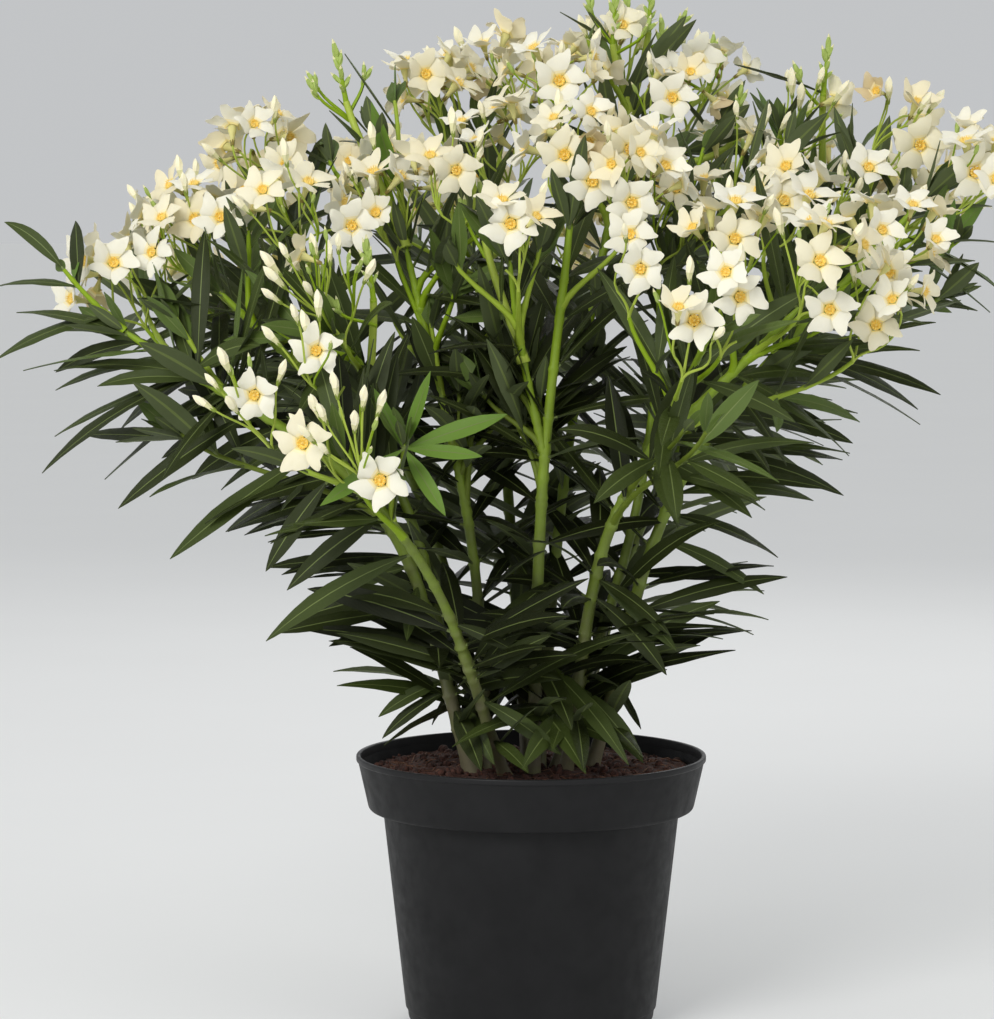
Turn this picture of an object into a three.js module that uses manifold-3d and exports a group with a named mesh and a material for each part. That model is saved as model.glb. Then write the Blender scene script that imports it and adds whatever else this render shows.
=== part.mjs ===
// A potted oleander in flower: a round nursery pot filled with soil, leaning stems that fork into
// boughs, masses of narrow leaves around them, and heads of blossom on the boughs' tips.
// Millimetres, +Z up. The origin is the middle of the pot's flat underside, and -Y is the front.
import * as THREE from 'three';
import { mergeVertices } from 'three/addons/utils/BufferGeometryUtils.js';
import Module from 'manifold-3d';

const wasm = await Module();
wasm.setup();

// ---- Driving dimensions ----------------------------------------------------------------------

const pot = {
  height: 216,
  lipRadius: 140, // the widest circle of the pot
  lipHeight: 5,
  bandTopRadius: 138.5,
  bandBottomRadius: 130.5, // just above the band's rounded lower edge
  bandDepth: 43.5, // from the rim down to the band's underside
  bandRounding: 5,
  bodyTopRadius: 118.7,
  bodyBottomRadius: 100.7,
  footRadius: 97.7,
  footHeight: 11,
  wall: 2.4,
  floor: 3,
  sides: 32,
};

const soil = {
  top: 205, // flat around the stems
  flatRadius: 84,
  edgeDrop: 2.5, // lower against the wall
};

const clearance = 0.3; // between solids that touch on the real plant
const limbSides = 6;
const limbSteps = 5;

// Each stem rises from the soil at its foot, bends at its knee and ends in a mass of leaves or
// blossom at its tip. Positions are x, y, z; a foot is x, y on the soil.
const stems = [
  { name: 'stem_left_low', foot: [-46, -16], knee: [-122, -36, 416], tip: [-318, -52, 556], radii: [5.6, 3] },
  { name: 'stem_left', foot: [-50, 10], knee: [-112, 4, 440], tip: [-246, -14, 586], radii: [5, 2.8] },
  { name: 'stem_left_front', foot: [-20, -38], knee: [-74, -126, 362], tip: [-142, -206, 466], radii: [4.8, 2.8] },
  { name: 'stem_centre_left', foot: [-32, 4], knee: [-50, 8, 400], tip: [-100, 22, 620], radii: [5, 2.8] },
  { name: 'stem_centre', foot: [1, -20], knee: [9, -36, 440], tip: [30, -48, 640], radii: [5.6, 3] },
  { name: 'stem_centre_right', foot: [20, 16], knee: [82, 18, 400], tip: [112, 30, 600], radii: [5, 2.8] },
  { name: 'stem_right', foot: [27, -9], knee: [70, -46, 420], tip: [206, -88, 576], radii: [5.6, 3] },
  { name: 'stem_right_far', foot: [48, 10], knee: [122, 0, 440], tip: [318, 40, 662], radii: [5.4, 2.9] },
  { name: 'stem_back_left', foot: [-28, 34], knee: [-92, 118, 415], tip: [-204, 206, 610], radii: [5, 2.8] },
  { name: 'stem_back', foot: [-2, 44], knee: [-20, 146, 440], tip: [-42, 186, 715], radii: [5.4, 2.9] },
  { name: 'stem_back_right', foot: [28, 38], knee: [104, 122, 415], tip: [240, 204, 620], radii: [5, 2.8] },
  { name: 'stem_crown', foot: [6, 14], knee: [30, 66, 450], tip: [82, 140, 725], radii: [5, 2.8] },
];

// A bough leaves its stem a given way up it, and is cut to sit against the stem.
const boughs = [
  { name: 'bough_left_up', from: 'stem_left', at: 0.52, knee: [-130, -44, 520], tip: [-152, -116, 556], radii: [3.2, 2.4] },
  { name: 'bough_centre_left', from: 'stem_centre', at: 0.58, knee: [-8, -52, 540], tip: [-18, -88, 612], radii: [3.3, 2.4] },
  { name: 'bough_front_right', from: 'stem_right', at: 0.54, knee: [112, -124, 510], tip: [132, -200, 562], radii: [3.4, 2.5] },
  { name: 'bough_back', from: 'stem_back', at: 0.5, knee: [-30, 220, 520], tip: [-50, 296, 625], radii: [3.4, 2.5] },
];

// A mass is a lump at x, y, z. Its size is half its length outwards from the pot's axis, half its
// width across that, and half its height.
const leafMasses = [
  { name: 'leaves_low_left', at: [-136, -28, 352], size: [100, 66, 54] },
  { name: 'leaves_low_right', at: [118, -20, 352], size: [86, 70, 52] },
  { name: 'leaves_low_front', at: [4, -92, 326], size: [62, 84, 56] },
  { name: 'leaves_low_back', at: [0, 114, 356], size: [74, 96, 54] },
  { name: 'leaves_mid_left', at: [-262, -22, 446], size: [116, 88, 60] },
  { name: 'leaves_mid_front', at: [-100, -200, 428], size: [96, 92, 58] },
  { name: 'leaves_mid_front_right', at: [112, -200, 470], size: [94, 90, 60] },
  { name: 'leaves_mid_right', at: [208, 4, 470], size: [90, 90, 60] },
  { name: 'leaves_mid_back_right', at: [136, 196, 462], size: [98, 94, 64] },
  { name: 'leaves_mid_back_left', at: [-134, 192, 458], size: [98, 94, 64] },
  { name: 'leaves_heart', at: [-14, 16, 496], size: [96, 92, 88] },
  { name: 'leaves_upper_left', at: [-334, -12, 536], size: [88, 82, 46] },
  { name: 'leaves_upper_right', at: [300, 6, 578], size: [72, 88, 62] },
  { name: 'leaves_upper_back', at: [0, 270, 568], size: [86, 118, 64] },
  { name: 'leaves_upper_back_left', at: [-248, 134, 574], size: [92, 86, 60] },
  { name: 'leaves_upper_back_right', at: [234, 150, 594], size: [84, 84, 60] },
  { name: 'leaves_crown', at: [64, 96, 640], size: [74, 108, 66] },
];

const blossomMasses = [
  { name: 'blossom_left_tip', at: [-346, 26, 594], size: [62, 60, 40] },
  { name: 'blossom_left', at: [-276, 46, 642], size: [60, 60, 46] },
  { name: 'blossom_left_high', at: [-224, 116, 690], size: [66, 66, 52] },
  { name: 'blossom_left_mid', at: [-190, -28, 644], size: [60, 60, 50] },
  { name: 'blossom_left_inner', at: [-114, 26, 660], size: [62, 62, 54] },
  { name: 'blossom_front_left', at: [-160, -148, 564], size: [52, 54, 56] },
  { name: 'blossom_front_low', at: [-166, -228, 496], size: [50, 66, 44] },
  { name: 'blossom_crown_left', at: [-78, 150, 742], size: [64, 66, 52] },
  { name: 'blossom_crown_back', at: [-12, 218, 758], size: [60, 62, 50] },
  { name: 'blossom_centre', at: [-34, 34, 702], size: [60, 62, 52] },
  { name: 'blossom_centre_front', at: [-18, -112, 636], size: [48, 54, 46] },
  { name: 'blossom_heart', at: [68, -50, 668], size: [66, 70, 66] },
  { name: 'blossom_crown_right', at: [108, 168, 764], size: [64, 84, 56] },
  { name: 'blossom_right_high', at: [214, 116, 706], size: [68, 68, 56] },
  { name: 'blossom_right_inner', at: [176, -58, 650], size: [60, 62, 48] },
  { name: 'blossom_right_top', at: [322, 60, 704], size: [68, 64, 60] },
  { name: 'blossom_right', at: [252, -112, 612], size: [70, 72, 58] },
  { name: 'blossom_front_right', at: [138, -226, 580], size: [50, 58, 44] },
  { name: 'blossom_back_left', at: [-214, 226, 648], size: [72, 70, 50] },
  { name: 'blossom_back', at: [-56, 318, 656], size: [64, 78, 52] },
  { name: 'blossom_back_right', at: [100, 310, 648], size: [70, 84, 58] },
  { name: 'blossom_back_far', at: [258, 232, 660], size: [68, 68, 50] },
];

// Bare young shoots that stand up out of the crown.
const sprouts = [
  { name: 'sprout_left', at: [-152, 52, 718], size: [20, 20, 78] },
  { name: 'sprout_crown', at: [92, 184, 824], size: [24, 32, 34] },
];

const massDetail = 1; // subdivisions of the icosahedron that a mass is made from
const unevenness = 0.17; // how far a mass swells and sinks, as a share of its size

// ---- Materials -------------------------------------------------------------------------------

const finishes = {
  plastic: { color: 0x232325, roughness: 0.55 },
  soil: { color: 0x33201a, roughness: 1 },
  stem: { color: 0x6f7d33, roughness: 0.7 },
  leaves: { color: 0x38462a, roughness: 0.6 },
  blossom: { color: 0xf3ecd2, roughness: 0.7 },
};

function material(finish) {
  return new THREE.MeshStandardMaterial({ ...finishes[finish], metalness: 0 });
}

// ---- Solids ----------------------------------------------------------------------------------

function solidOf(geometry) {
  const bare = geometry.clone();
  bare.deleteAttribute('normal');
  bare.deleteAttribute('uv');
  const merged = mergeVertices(bare, 1e-4);
  return new wasm.Manifold(new wasm.Mesh({
    numProp: 3,
    vertProperties: new Float32Array(merged.attributes.position.array),
    triVerts: new Uint32Array(merged.index.array),
  }));
}

function geometryOf(solid) {
  const { vertProperties, triVerts, numProp } = solid.getMesh();
  const positions = [];
  for (let i = 0; i < vertProperties.length; i += numProp) {
    positions.push(...vertProperties.slice(i, i + 3));
  }
  const geometry = new THREE.BufferGeometry();
  geometry.setAttribute('position', new THREE.Float32BufferAttribute(positions, 3));
  geometry.setIndex([...triVerts]);
  return geometry;
}

// A lathe about Z, from a profile of radius and height.
function turned(profile) {
  const points = profile.map(([radius, height]) => new THREE.Vector2(radius, height));
  return new THREE.LatheGeometry(points, pot.sides).rotateX(Math.PI / 2);
}

// ---- The pot and its soil --------------------------------------------------------------------

const bandBottom = pot.height - pot.bandDepth;

// The outer radius of the body's wall at a height, for offsets inwards from it.
function bodyRadius(height) {
  const share = (height - pot.footHeight) / (bandBottom - pot.footHeight);
  return THREE.MathUtils.lerp(pot.bodyBottomRadius, pot.bodyTopRadius, share);
}

// The same for the band's wall, which runs straight from its rounding up to the rim.
function bandRadius(height) {
  const share = (height - bandBottom - pot.bandRounding) / (pot.bandDepth - pot.bandRounding);
  return THREE.MathUtils.lerp(pot.bandBottomRadius, pot.bandTopRadius, share);
}

function roundedBandEdge() {
  const centre = [pot.bandBottomRadius - pot.bandRounding, bandBottom + pot.bandRounding];
  return [0, 30, 60, 90].map((degrees) => {
    const angle = THREE.MathUtils.degToRad(degrees);
    return [
      centre[0] + pot.bandRounding * Math.cos(angle),
      centre[1] - pot.bandRounding * Math.sin(angle),
    ];
  });
}

// The wall seen from inside, moved inwards by a distance, from the rim down to the pot's floor.
function innerWall(inset, top, bottom) {
  const ledge = bandBottom + inset;
  return [
    [bandRadius(top) - inset, top],
    [bandRadius(ledge + pot.bandRounding) - inset, ledge + pot.bandRounding],
    [pot.bandBottomRadius - inset - pot.bandRounding, ledge],
    [bodyRadius(ledge) - inset, ledge],
    [bodyRadius(bottom) - inset, bottom],
  ];
}

function potGeometry() {
  return turned([
    [0, 0],
    [pot.footRadius, 0],
    [pot.footRadius, pot.footHeight - 1],
    [pot.bodyBottomRadius, pot.footHeight],
    [pot.bodyTopRadius, bandBottom],
    ...roundedBandEdge().reverse(),
    [pot.bandTopRadius, pot.height - pot.lipHeight],
    [pot.lipRadius, pot.height - pot.lipHeight + 1.5],
    [pot.lipRadius, pot.height - 1],
    [pot.lipRadius - 1, pot.height],
    ...innerWall(pot.wall, pot.height, pot.floor),
    [0, pot.floor],
  ]);
}

function soilGeometry() {
  const inset = pot.wall + clearance;
  const edge = soil.top - soil.edgeDrop;
  return turned([
    [0, pot.floor + clearance],
    ...innerWall(inset, edge, pot.floor + clearance).reverse(),
    [soil.flatRadius, soil.top],
    [0, soil.top],
  ]);
}

// ---- Stems and boughs ------------------------------------------------------------------------

function stemCurve({ foot, knee, tip }) {
  const start = new THREE.Vector3(foot[0], foot[1], soil.top + clearance);
  return new THREE.CatmullRomCurve3([start, new THREE.Vector3(...knee), new THREE.Vector3(...tip)]);
}

function boughCurve({ from, at, knee, tip }) {
  const start = stemCurve(stems.find((stem) => stem.name === from)).getPointAt(at);
  return new THREE.CatmullRomCurve3([start, new THREE.Vector3(...knee), new THREE.Vector3(...tip)]);
}

// One tapering limb: a cylinder's rings laid square across the curve, widened by a margin. The
// first ring of a stem is slid along the stem until it lies flat on the soil.
function limbGeometry(curve, [baseRadius, tipRadius], flatFoot, margin = 0) {
  const geometry = new THREE.CylinderGeometry(1, 1, 1, limbSides, limbSteps);
  const frames = curve.computeFrenetFrames(limbSteps);
  const position = geometry.attributes.position;
  const point = new THREE.Vector3();
  for (let i = 0; i < position.count; i += 1) {
    const step = Math.round((position.getY(i) + 0.5) * limbSteps);
    const share = step / limbSteps;
    const radius = THREE.MathUtils.lerp(baseRadius, tipRadius, share) + margin;
    point.copy(curve.getPointAt(share));
    point.addScaledVector(frames.binormals[step], radius * position.getX(i));
    point.addScaledVector(frames.normals[step], radius * position.getZ(i));
    if (step === 0 && flatFoot) {
      const tangent = frames.tangents[0];
      point.addScaledVector(tangent, (soil.top + clearance - point.z) / tangent.z);
    }
    position.setXYZ(i, point.x, point.y, point.z);
  }
  return geometry;
}

// ---- Masses ----------------------------------------------------------------------------------

// Smooth swelling over a sphere: a few waves in directions that differ from mass to mass.
function swelling(direction, seed) {
  const waves = [0, 1, 2].map((k) => {
    const turn = seed * 1.7 + k * 2.1;
    const along = direction.x * Math.cos(turn) + direction.y * Math.sin(turn);
    return Math.sin((2.2 + k) * along + (1.4 + k) * direction.z + seed + k);
  });
  return (waves[0] + waves[1] + waves[2]) / 3;
}

// A mass's own axes: outwards from the pot's axis, across that, and up.
function massAxes([x, y]) {
  const heading = Math.atan2(y, x);
  return [
    new THREE.Vector3(Math.cos(heading), Math.sin(heading), 0),
    new THREE.Vector3(-Math.sin(heading), Math.cos(heading), 0),
    new THREE.Vector3(0, 0, 1),
  ];
}

function massGeometry({ at, size }, seed) {
  const geometry = new THREE.IcosahedronGeometry(1, massDetail);
  const position = geometry.attributes.position;
  const axes = massAxes(at);
  const direction = new THREE.Vector3();
  const point = new THREE.Vector3();
  for (let i = 0; i < position.count; i += 1) {
    direction.fromBufferAttribute(position, i);
    const reach = 1 + unevenness * swelling(direction, seed);
    point.set(...at);
    point.addScaledVector(axes[0], direction.x * reach * size[0]);
    point.addScaledVector(axes[1], direction.y * reach * size[1]);
    point.addScaledVector(axes[2], direction.z * reach * size[2]);
    position.setXYZ(i, point.x, point.y, point.z);
  }
  return geometry;
}

// How far a mass reaches from its middle in a direction.
function reachOf({ at, size }, direction) {
  const axes = massAxes(at);
  const shares = axes.map((axis, k) => axis.dot(direction) / size[k]);
  return 1 / Math.hypot(...shares);
}

// The half of space beyond the plane between two neighbours, as a large box: what the first of
// them must give up. The plane divides the distance between them as their sizes do.
function beyondPlane(mass, neighbour) {
  const extent = 600;
  const start = new THREE.Vector3(...mass.at);
  const direction = new THREE.Vector3(...neighbour.at).sub(start);
  const distance = direction.length();
  direction.normalize();
  const own = reachOf(mass, direction);
  const plane = distance * own / (own + reachOf(neighbour, direction)) - clearance / 2;
  const box = new THREE.BoxGeometry(extent, extent, extent);
  box.translate(0, 0, extent / 2);
  box.applyQuaternion(new THREE.Quaternion().setFromUnitVectors(new THREE.Vector3(0, 0, 1), direction));
  start.addScaledVector(direction, plane);
  return box.translate(start.x, start.y, start.z);
}

function near(mass, neighbour) {
  const distance = new THREE.Vector3(...mass.at).distanceTo(new THREE.Vector3(...neighbour.at));
  const direction = new THREE.Vector3(...neighbour.at).sub(new THREE.Vector3(...mass.at)).normalize();
  return distance < (1 + 2 * unevenness) * (reachOf(mass, direction) + reachOf(neighbour, direction));
}

// ---- The plant -------------------------------------------------------------------------------

const plant = new THREE.Group();

function addNode(name, geometry, finish) {
  const mesh = new THREE.Mesh(geometry, material(finish));
  mesh.name = name;
  plant.add(mesh);
}

addNode('pot', potGeometry(), 'plastic');
addNode('soil', soilGeometry(), 'soil');

// Limbs, each with a slightly wider copy that its neighbours are cut with.
const grownLimbs = new Map();
for (const stem of stems) {
  const curve = stemCurve(stem);
  addNode(stem.name, limbGeometry(curve, stem.radii, true), 'stem');
  grownLimbs.set(stem.name, solidOf(limbGeometry(curve, stem.radii, true, clearance)));
}
for (const bough of boughs) {
  const curve = boughCurve(bough);
  const cut = grownLimbs.get(bough.from);
  const limb = solidOf(limbGeometry(curve, bough.radii, false)).subtract(cut);
  addNode(bough.name, geometryOf(limb), 'stem');
  grownLimbs.set(bough.name, solidOf(limbGeometry(curve, bough.radii, false, clearance)));
}

const masses = [
  ...leafMasses.map((mass) => ({ ...mass, finish: 'leaves' })),
  ...blossomMasses.map((mass) => ({ ...mass, finish: 'blossom' })),
  ...sprouts.map((mass) => ({ ...mass, finish: 'leaves' })),
];

masses.forEach((mass, seed) => {
  let solid = solidOf(massGeometry(mass, seed));
  for (const neighbour of masses) {
    if (neighbour !== mass && near(mass, neighbour)) {
      solid = solid.subtract(solidOf(beyondPlane(mass, neighbour)));
    }
  }
  for (const limb of grownLimbs.values()) {
    solid = solid.subtract(limb);
  }
  addNode(mass.name, geometryOf(solid), mass.finish);
});

export default plant;
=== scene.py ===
"""A potted oleander in flower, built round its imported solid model.

The pot and soil are turned and roughened meshes. Stems, boughs and twigs are tubes along their
centre lines, and the leaves, flowers and buds grow from them by seeded rules. Lengths are in
metres, in the solid model's own frame.
"""

import functools
import math
import random

import bpy
import numpy as np
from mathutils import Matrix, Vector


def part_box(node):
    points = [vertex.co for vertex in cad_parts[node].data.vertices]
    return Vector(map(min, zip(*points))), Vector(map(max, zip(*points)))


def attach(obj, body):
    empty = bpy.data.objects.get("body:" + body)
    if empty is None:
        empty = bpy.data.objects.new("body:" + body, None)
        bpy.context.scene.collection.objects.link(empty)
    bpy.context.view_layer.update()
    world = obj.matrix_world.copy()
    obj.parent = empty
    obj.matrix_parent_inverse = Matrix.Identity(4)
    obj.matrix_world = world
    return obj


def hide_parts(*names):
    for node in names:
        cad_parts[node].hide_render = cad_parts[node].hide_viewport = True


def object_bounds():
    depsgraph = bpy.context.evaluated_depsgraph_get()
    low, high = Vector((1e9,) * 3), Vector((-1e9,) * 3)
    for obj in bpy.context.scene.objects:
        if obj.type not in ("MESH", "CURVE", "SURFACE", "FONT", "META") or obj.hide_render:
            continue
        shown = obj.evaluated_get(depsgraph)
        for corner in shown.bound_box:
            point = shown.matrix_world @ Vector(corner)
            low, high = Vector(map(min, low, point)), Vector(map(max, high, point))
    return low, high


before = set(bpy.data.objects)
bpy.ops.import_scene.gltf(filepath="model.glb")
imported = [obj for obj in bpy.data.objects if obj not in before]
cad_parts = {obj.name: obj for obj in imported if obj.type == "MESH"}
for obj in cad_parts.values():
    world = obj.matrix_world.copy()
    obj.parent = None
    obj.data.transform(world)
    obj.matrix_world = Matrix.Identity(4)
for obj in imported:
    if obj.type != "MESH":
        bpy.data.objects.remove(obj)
CAD_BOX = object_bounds()

bl_info = {
    "name": "Potted oleander",
    "version": (1, 0, 0),
    "blender": (4, 5, 0),
    "location": "3D View > Sidebar > Oleander",
    "description": "Builds an oleander in flower in a plain pot",
    "category": "Add Mesh",
}

BODY = "root"
SEED = 11
NUMBER = "NodeSocketFloat"
UP = np.array((0.0, 0.0, 1.0))
GOLDEN_ANGLE = math.pi * (3 - math.sqrt(5))

# Where random turns about an axis end: near enough a full turn.
ANY_ANGLE = 6.28

# How far the foliage may stand outside the solid model's box.
BOX_LOW = np.array(CAD_BOX[0])
BOX_HIGH = np.array(CAD_BOX[1])
BOX_ROOM = 0.03 * (BOX_HIGH - BOX_LOW) + 0.004

# ---- Places in the plant, in millimetres ----

# Stems: foot on the soil (x, y), knee, tip, then base and tip radius.
STEMS = {
    "stem_left_low": ((-46, -16), (-122, -36, 416), (-318, -52, 556), (5.6, 3)),
    "stem_left": ((-50, 10), (-112, 4, 440), (-246, -14, 586), (5, 2.8)),
    "stem_left_front": ((-20, -38), (-74, -126, 362), (-142, -206, 466), (4.8, 2.8)),
    "stem_centre_left": ((-32, 4), (-50, 8, 400), (-100, 22, 620), (5, 2.8)),
    "stem_centre": ((1, -20), (9, -36, 440), (30, -48, 640), (5.6, 3)),
    "stem_centre_right": ((20, 16), (82, 18, 400), (112, 30, 600), (5, 2.8)),
    "stem_right": ((27, -9), (70, -46, 420), (206, -88, 576), (5.6, 3)),
    "stem_right_far": ((48, 10), (122, 0, 440), (318, 40, 662), (5.4, 2.9)),
    "stem_back_left": ((-28, 34), (-92, 118, 415), (-204, 206, 610), (5, 2.8)),
    "stem_back": ((-2, 44), (-20, 146, 440), (-42, 186, 715), (5.4, 2.9)),
    "stem_back_right": ((28, 38), (104, 122, 415), (240, 204, 620), (5, 2.8)),
    "stem_crown": ((6, 14), (30, 66, 450), (82, 140, 725), (5, 2.8)),
}

# Boughs: parent stem, share of its length, knee, tip, then base and tip radius.
BOUGHS = {
    "bough_left_up": ("stem_left", 0.52, (-130, -44, 520), (-152, -116, 556), (3.2, 2.4)),
    "bough_centre_left": ("stem_centre", 0.58, (-8, -52, 540), (-18, -88, 612), (3.3, 2.4)),
    "bough_front_right": ("stem_right", 0.54, (112, -124, 510), (132, -200, 562), (3.4, 2.5)),
    "bough_back": ("stem_back", 0.5, (-30, 220, 520), (-50, 296, 625), (3.4, 2.5)),
}

# Flower heads: centre, open flowers, buds.
FLOWER_HEADS = (
    ((-332, 20, 594), 8, 4), ((-282, 46, 634), 9, 9), ((-221, 120, 695), 9, 5),
    ((-190, -30, 646), 7, 5), ((-117, 20, 654), 10, 5), ((-156, -120, 589), 1, 13),
    ((-162, -180, 544), 1, 4), ((-211, -186, 508), 1, 6), ((-137, -230, 480), 2, 10),
    ((-75, 150, 742), 13, 5), ((-60, -20, 676), 2, 5), ((-25, 200, 754), 13, 5), ((-21, 60, 700), 9, 4),
    ((24, 100, 752), 10, 5), ((32, -20, 690), 10, 4), ((77, -60, 670), 12, 4), ((80, -130, 612), 2, 2),
    ((71, 180, 776), 5, 9), ((115, 120, 738), 5, 6), ((-12, -124, 634), 3, 4), ((144, 210, 758), 6, 5),
    ((183, 90, 690), 3, 5), ((228, 150, 722), 1, 8), ((298, 80, 712), 5, 5), ((356, 30, 680), 9, 4),
    ((199, -20, 656), 7, 5), ((154, -120, 626), 6, 4), ((217, -160, 610), 6, 4),
    ((278, -60, 629), 8, 4), ((266, -110, 574), 6, 4), ((150, -216, 582), 2, 2),
    ((119, -224, 566), 2, 4), ((112, 20, 650), 6, 2), ((264, 60, 658), 2, 5), ((-214, 226, 648), 12, 6),
    ((-300, 150, 612), 9, 6), ((-56, 316, 656), 13, 6), ((100, 310, 650), 13, 6),
    ((258, 232, 660), 12, 6), ((-130, 280, 676), 9, 5), ((180, 300, 684), 9, 5),
    ((320, 150, 654), 9, 5), ((20, 350, 606), 6, 6), ((-250, 256, 596), 6, 6),
)

# Single flowers that stand free at the front of the heads and look forward.
FREE_FLOWERS = (
    (-162, -186, 546), (-208, -192, 513), (-113, -238, 453), (-170, -234, 480), (-59, -44, 681),
    (-197, 40, 686), (-141, -36, 638), (-301, -4, 617), (-246, -10, 645), (25, -60, 693), (23, 56, 754),
    (46, -90, 672), (76, -100, 656), (74, -112, 632), (81, -144, 606), (76, -66, 697), (117, -232, 570),
    (151, -226, 587), (152, -150, 629), (213, -186, 613), (273, -100, 603), (261, -124, 563),
    (222, -166, 576), (196, -56, 658), (352, 4, 680), (313, 50, 702), (115, 80, 741), (-17, -136, 640),
)

# Tips of leafy shoots without flowers.
LEAFY_TIPS = (
    (-365, -50, 604), (-96, -200, 478), (-224, -10, 634), (-110, 70, 738), (-128, 60, 712),
    (47, 116, 790), (208, 150, 716), (262, 110, 690), (150, 130, 712), (208, 70, 700), (340, 10, 626),
    (6, -66, 622), (140, 70, 700), (-60, -76, 610), (230, -110, 566), (-279, -36, 566),
    (-165, 120, 690), (305, 90, 664), (-200, -80, 560), (-100, 340, 620), (150, 356, 612),
    (-330, 110, 600), (330, 200, 640), (-180, 180, 690), (-70, 60, 600), (-80, 10, 560),
    (-58, 100, 630), (140, 60, 500), (100, 100, 500), (-30, 50, 560), (60, 70, 560), (-110, 50, 560),
    (-60, -20, 590), (-90, 90, 580),
)

# Tall green shoots that carry young buds: tip, and how many arms stand beside it.
BUD_SHOOTS = (
    ((-158, 60, 786), 3), ((71, 150, 836), 2), ((103, 200, 848), 2), ((157, 226, 802), 1),
    ((174, 120, 756), 0), ((248, 150, 796), 1), ((-40, -30, 676), 1), ((-128, -100, 632), 1),
    ((-240, 250, 690), 2), ((60, 330, 712), 2), ((112, 190, 812), 0),
)

# Tips of the long leaves that give the crown its outline.
OUTER_LEAF_TIPS = (
    (-372, -40, 524), (-210, 20, 363), (-153, 20, 304), (-159, 60, 274), (-151, -40, 275),
    (-114, -60, 232), (356, 40, 569), (306, 0, 538), (315, -60, 507), (312, 60, 489), (269, 100, 510),
    (249, -20, 458), (248, 20, 422), (228, 60, 414), (192, 100, 413), (146, -60, 406), (203, 20, 355),
    (189, 80, 338), (178, 120, 358), (147, -20, 339), (113, 60, 304), (107, 20, 280), (76, -60, 297),
    (85, -88, 226), (72, -60, 228), (39, -125, 222), (-7, -126, 223), (368, 40, 652), (372, -20, 623),
    (-30, -110, 224), (16, -100, 234), (-60, -100, 236),
)

# Start and tip of the long leaves that arch down and out on the left.
ARCHING_LEAVES = (
    ((-278, -40, 498), (-377, -80, 448)), ((-268, -45, 492), (-337, -60, 513)),
    ((-230, -45, 474), (-318, -80, 421)), ((-253, -30, 487), (-308, 0, 469)),
    ((-225, -30, 470), (-294, 20, 452)), ((-179, -60, 442), (-277, -90, 383)),
    ((-206, -30, 460), (-268, 0, 437)), ((-191, -20, 463), (-244, -20, 430)),
    ((-163, -20, 404), (-239, 0, 395)), ((-140, -120, 440), (-203, -120, 376)),
    ((-119, -160, 429), (-184, -160, 365)), ((-125, -100, 400), (-204, -80, 317)),
    ((-119, -40, 338), (-198, -40, 321)), ((-122, -20, 361), (-180, 0, 330)),
    ((-368, -50, 600), (-413, -30, 640)), ((-360, -50, 586), (-418, -50, 590)),
    ((-347, -30, 591), (-361, 0, 640)), ((-345, -50, 555), (-415, -70, 534)),
    ((-323, -50, 533), (-399, -60, 570)), ((-320, -50, 529), (-373, -30, 523)),
    ((107, 0, 391), (185, 20, 343)), ((54, -50, 361), (107, -70, 319)),
    ((158, -60, 528), (245, -60, 460)), ((161, -50, 518), (195, -90, 455)),
)

# Start and tip of the light leaves that stand among the flowers at the top.
UPPER_LEAVES = (
    ((109, 140, 768), (128, 140, 808)), ((119, 140, 774), (136, 140, 805)),
    ((137, 140, 746), (176, 120, 755)), ((47, 140, 786), (26, 140, 812)),
    ((59, 140, 789), (47, 140, 814)), ((230, 120, 742), (171, 140, 769)),
    ((-106, 80, 731), (-110, 80, 766)), ((-85, 20, 666), (-127, 30, 734)),
    ((277, 100, 690), (262, 90, 735)), ((186, 80, 686), (180, 70, 736)),
    ((212, 100, 690), (226, 90, 738)), ((144, 120, 715), (120, 100, 745)),
)

# Start and tip of the leaves that hang round the foot of the stems.
FOOT_LEAVES = (
    ((-32, -50, 282), (21, -90, 229)), ((11, -30, 295), (73, -90, 222)),
    ((51, -10, 271), (86, -60, 219)), ((-20, -40, 262), (40, -120, 219)),
    ((-30, -40, 245), (-4, -120, 219)), ((-40, -20, 262), (-40, -105, 219)),
    ((-58, -20, 270), (-117, -30, 233)), ((-70, -30, 360), (-97, -90, 318)),
    ((-60, -80, 350), (-15, -110, 312)), ((50, -20, 345), (104, -60, 288)),
    ((60, -10, 365), (112, -50, 306)), ((-58, -10, 285), (-120, -30, 250)),
    ((6, -30, 300), (30, -100, 250)), ((0, 60, 290), (10, 110, 228)), ((-40, 50, 290), (-80, 90, 228)),
    ((50, 50, 290), (90, 80, 226)), ((-20, 70, 330), (-30, 130, 262)), ((40, 60, 330), (60, 130, 270)),
)

# Foot and tips of the bright young leaves of the shoot at the front.
BRIGHT_SHOOT = (-96, -200, 474)
BRIGHT_LEAF_TIPS = (
    (-77, -205, 530), (-22, -190, 498), (-66, -236, 428), (-156, -220, 434), (-120, -210, 520),
    (-40, -230, 470),
)

# How crowded a leafy part is, where it differs from the rest.
CROWDING_SHARES = {
    "leaves_heart": 2.4, "leaves_low_front": 1.4, "leaves_low_left": 0.4, "leaves_low_right": 0.5,
    "leaves_mid_left": 0.45, "leaves_mid_right": 0.45, "leaves_upper_right": 0.5, "leaves_low_back": 1.2,
    "leaves_crown": 0.5, "leaves_upper_back": 0.7,
}

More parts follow.
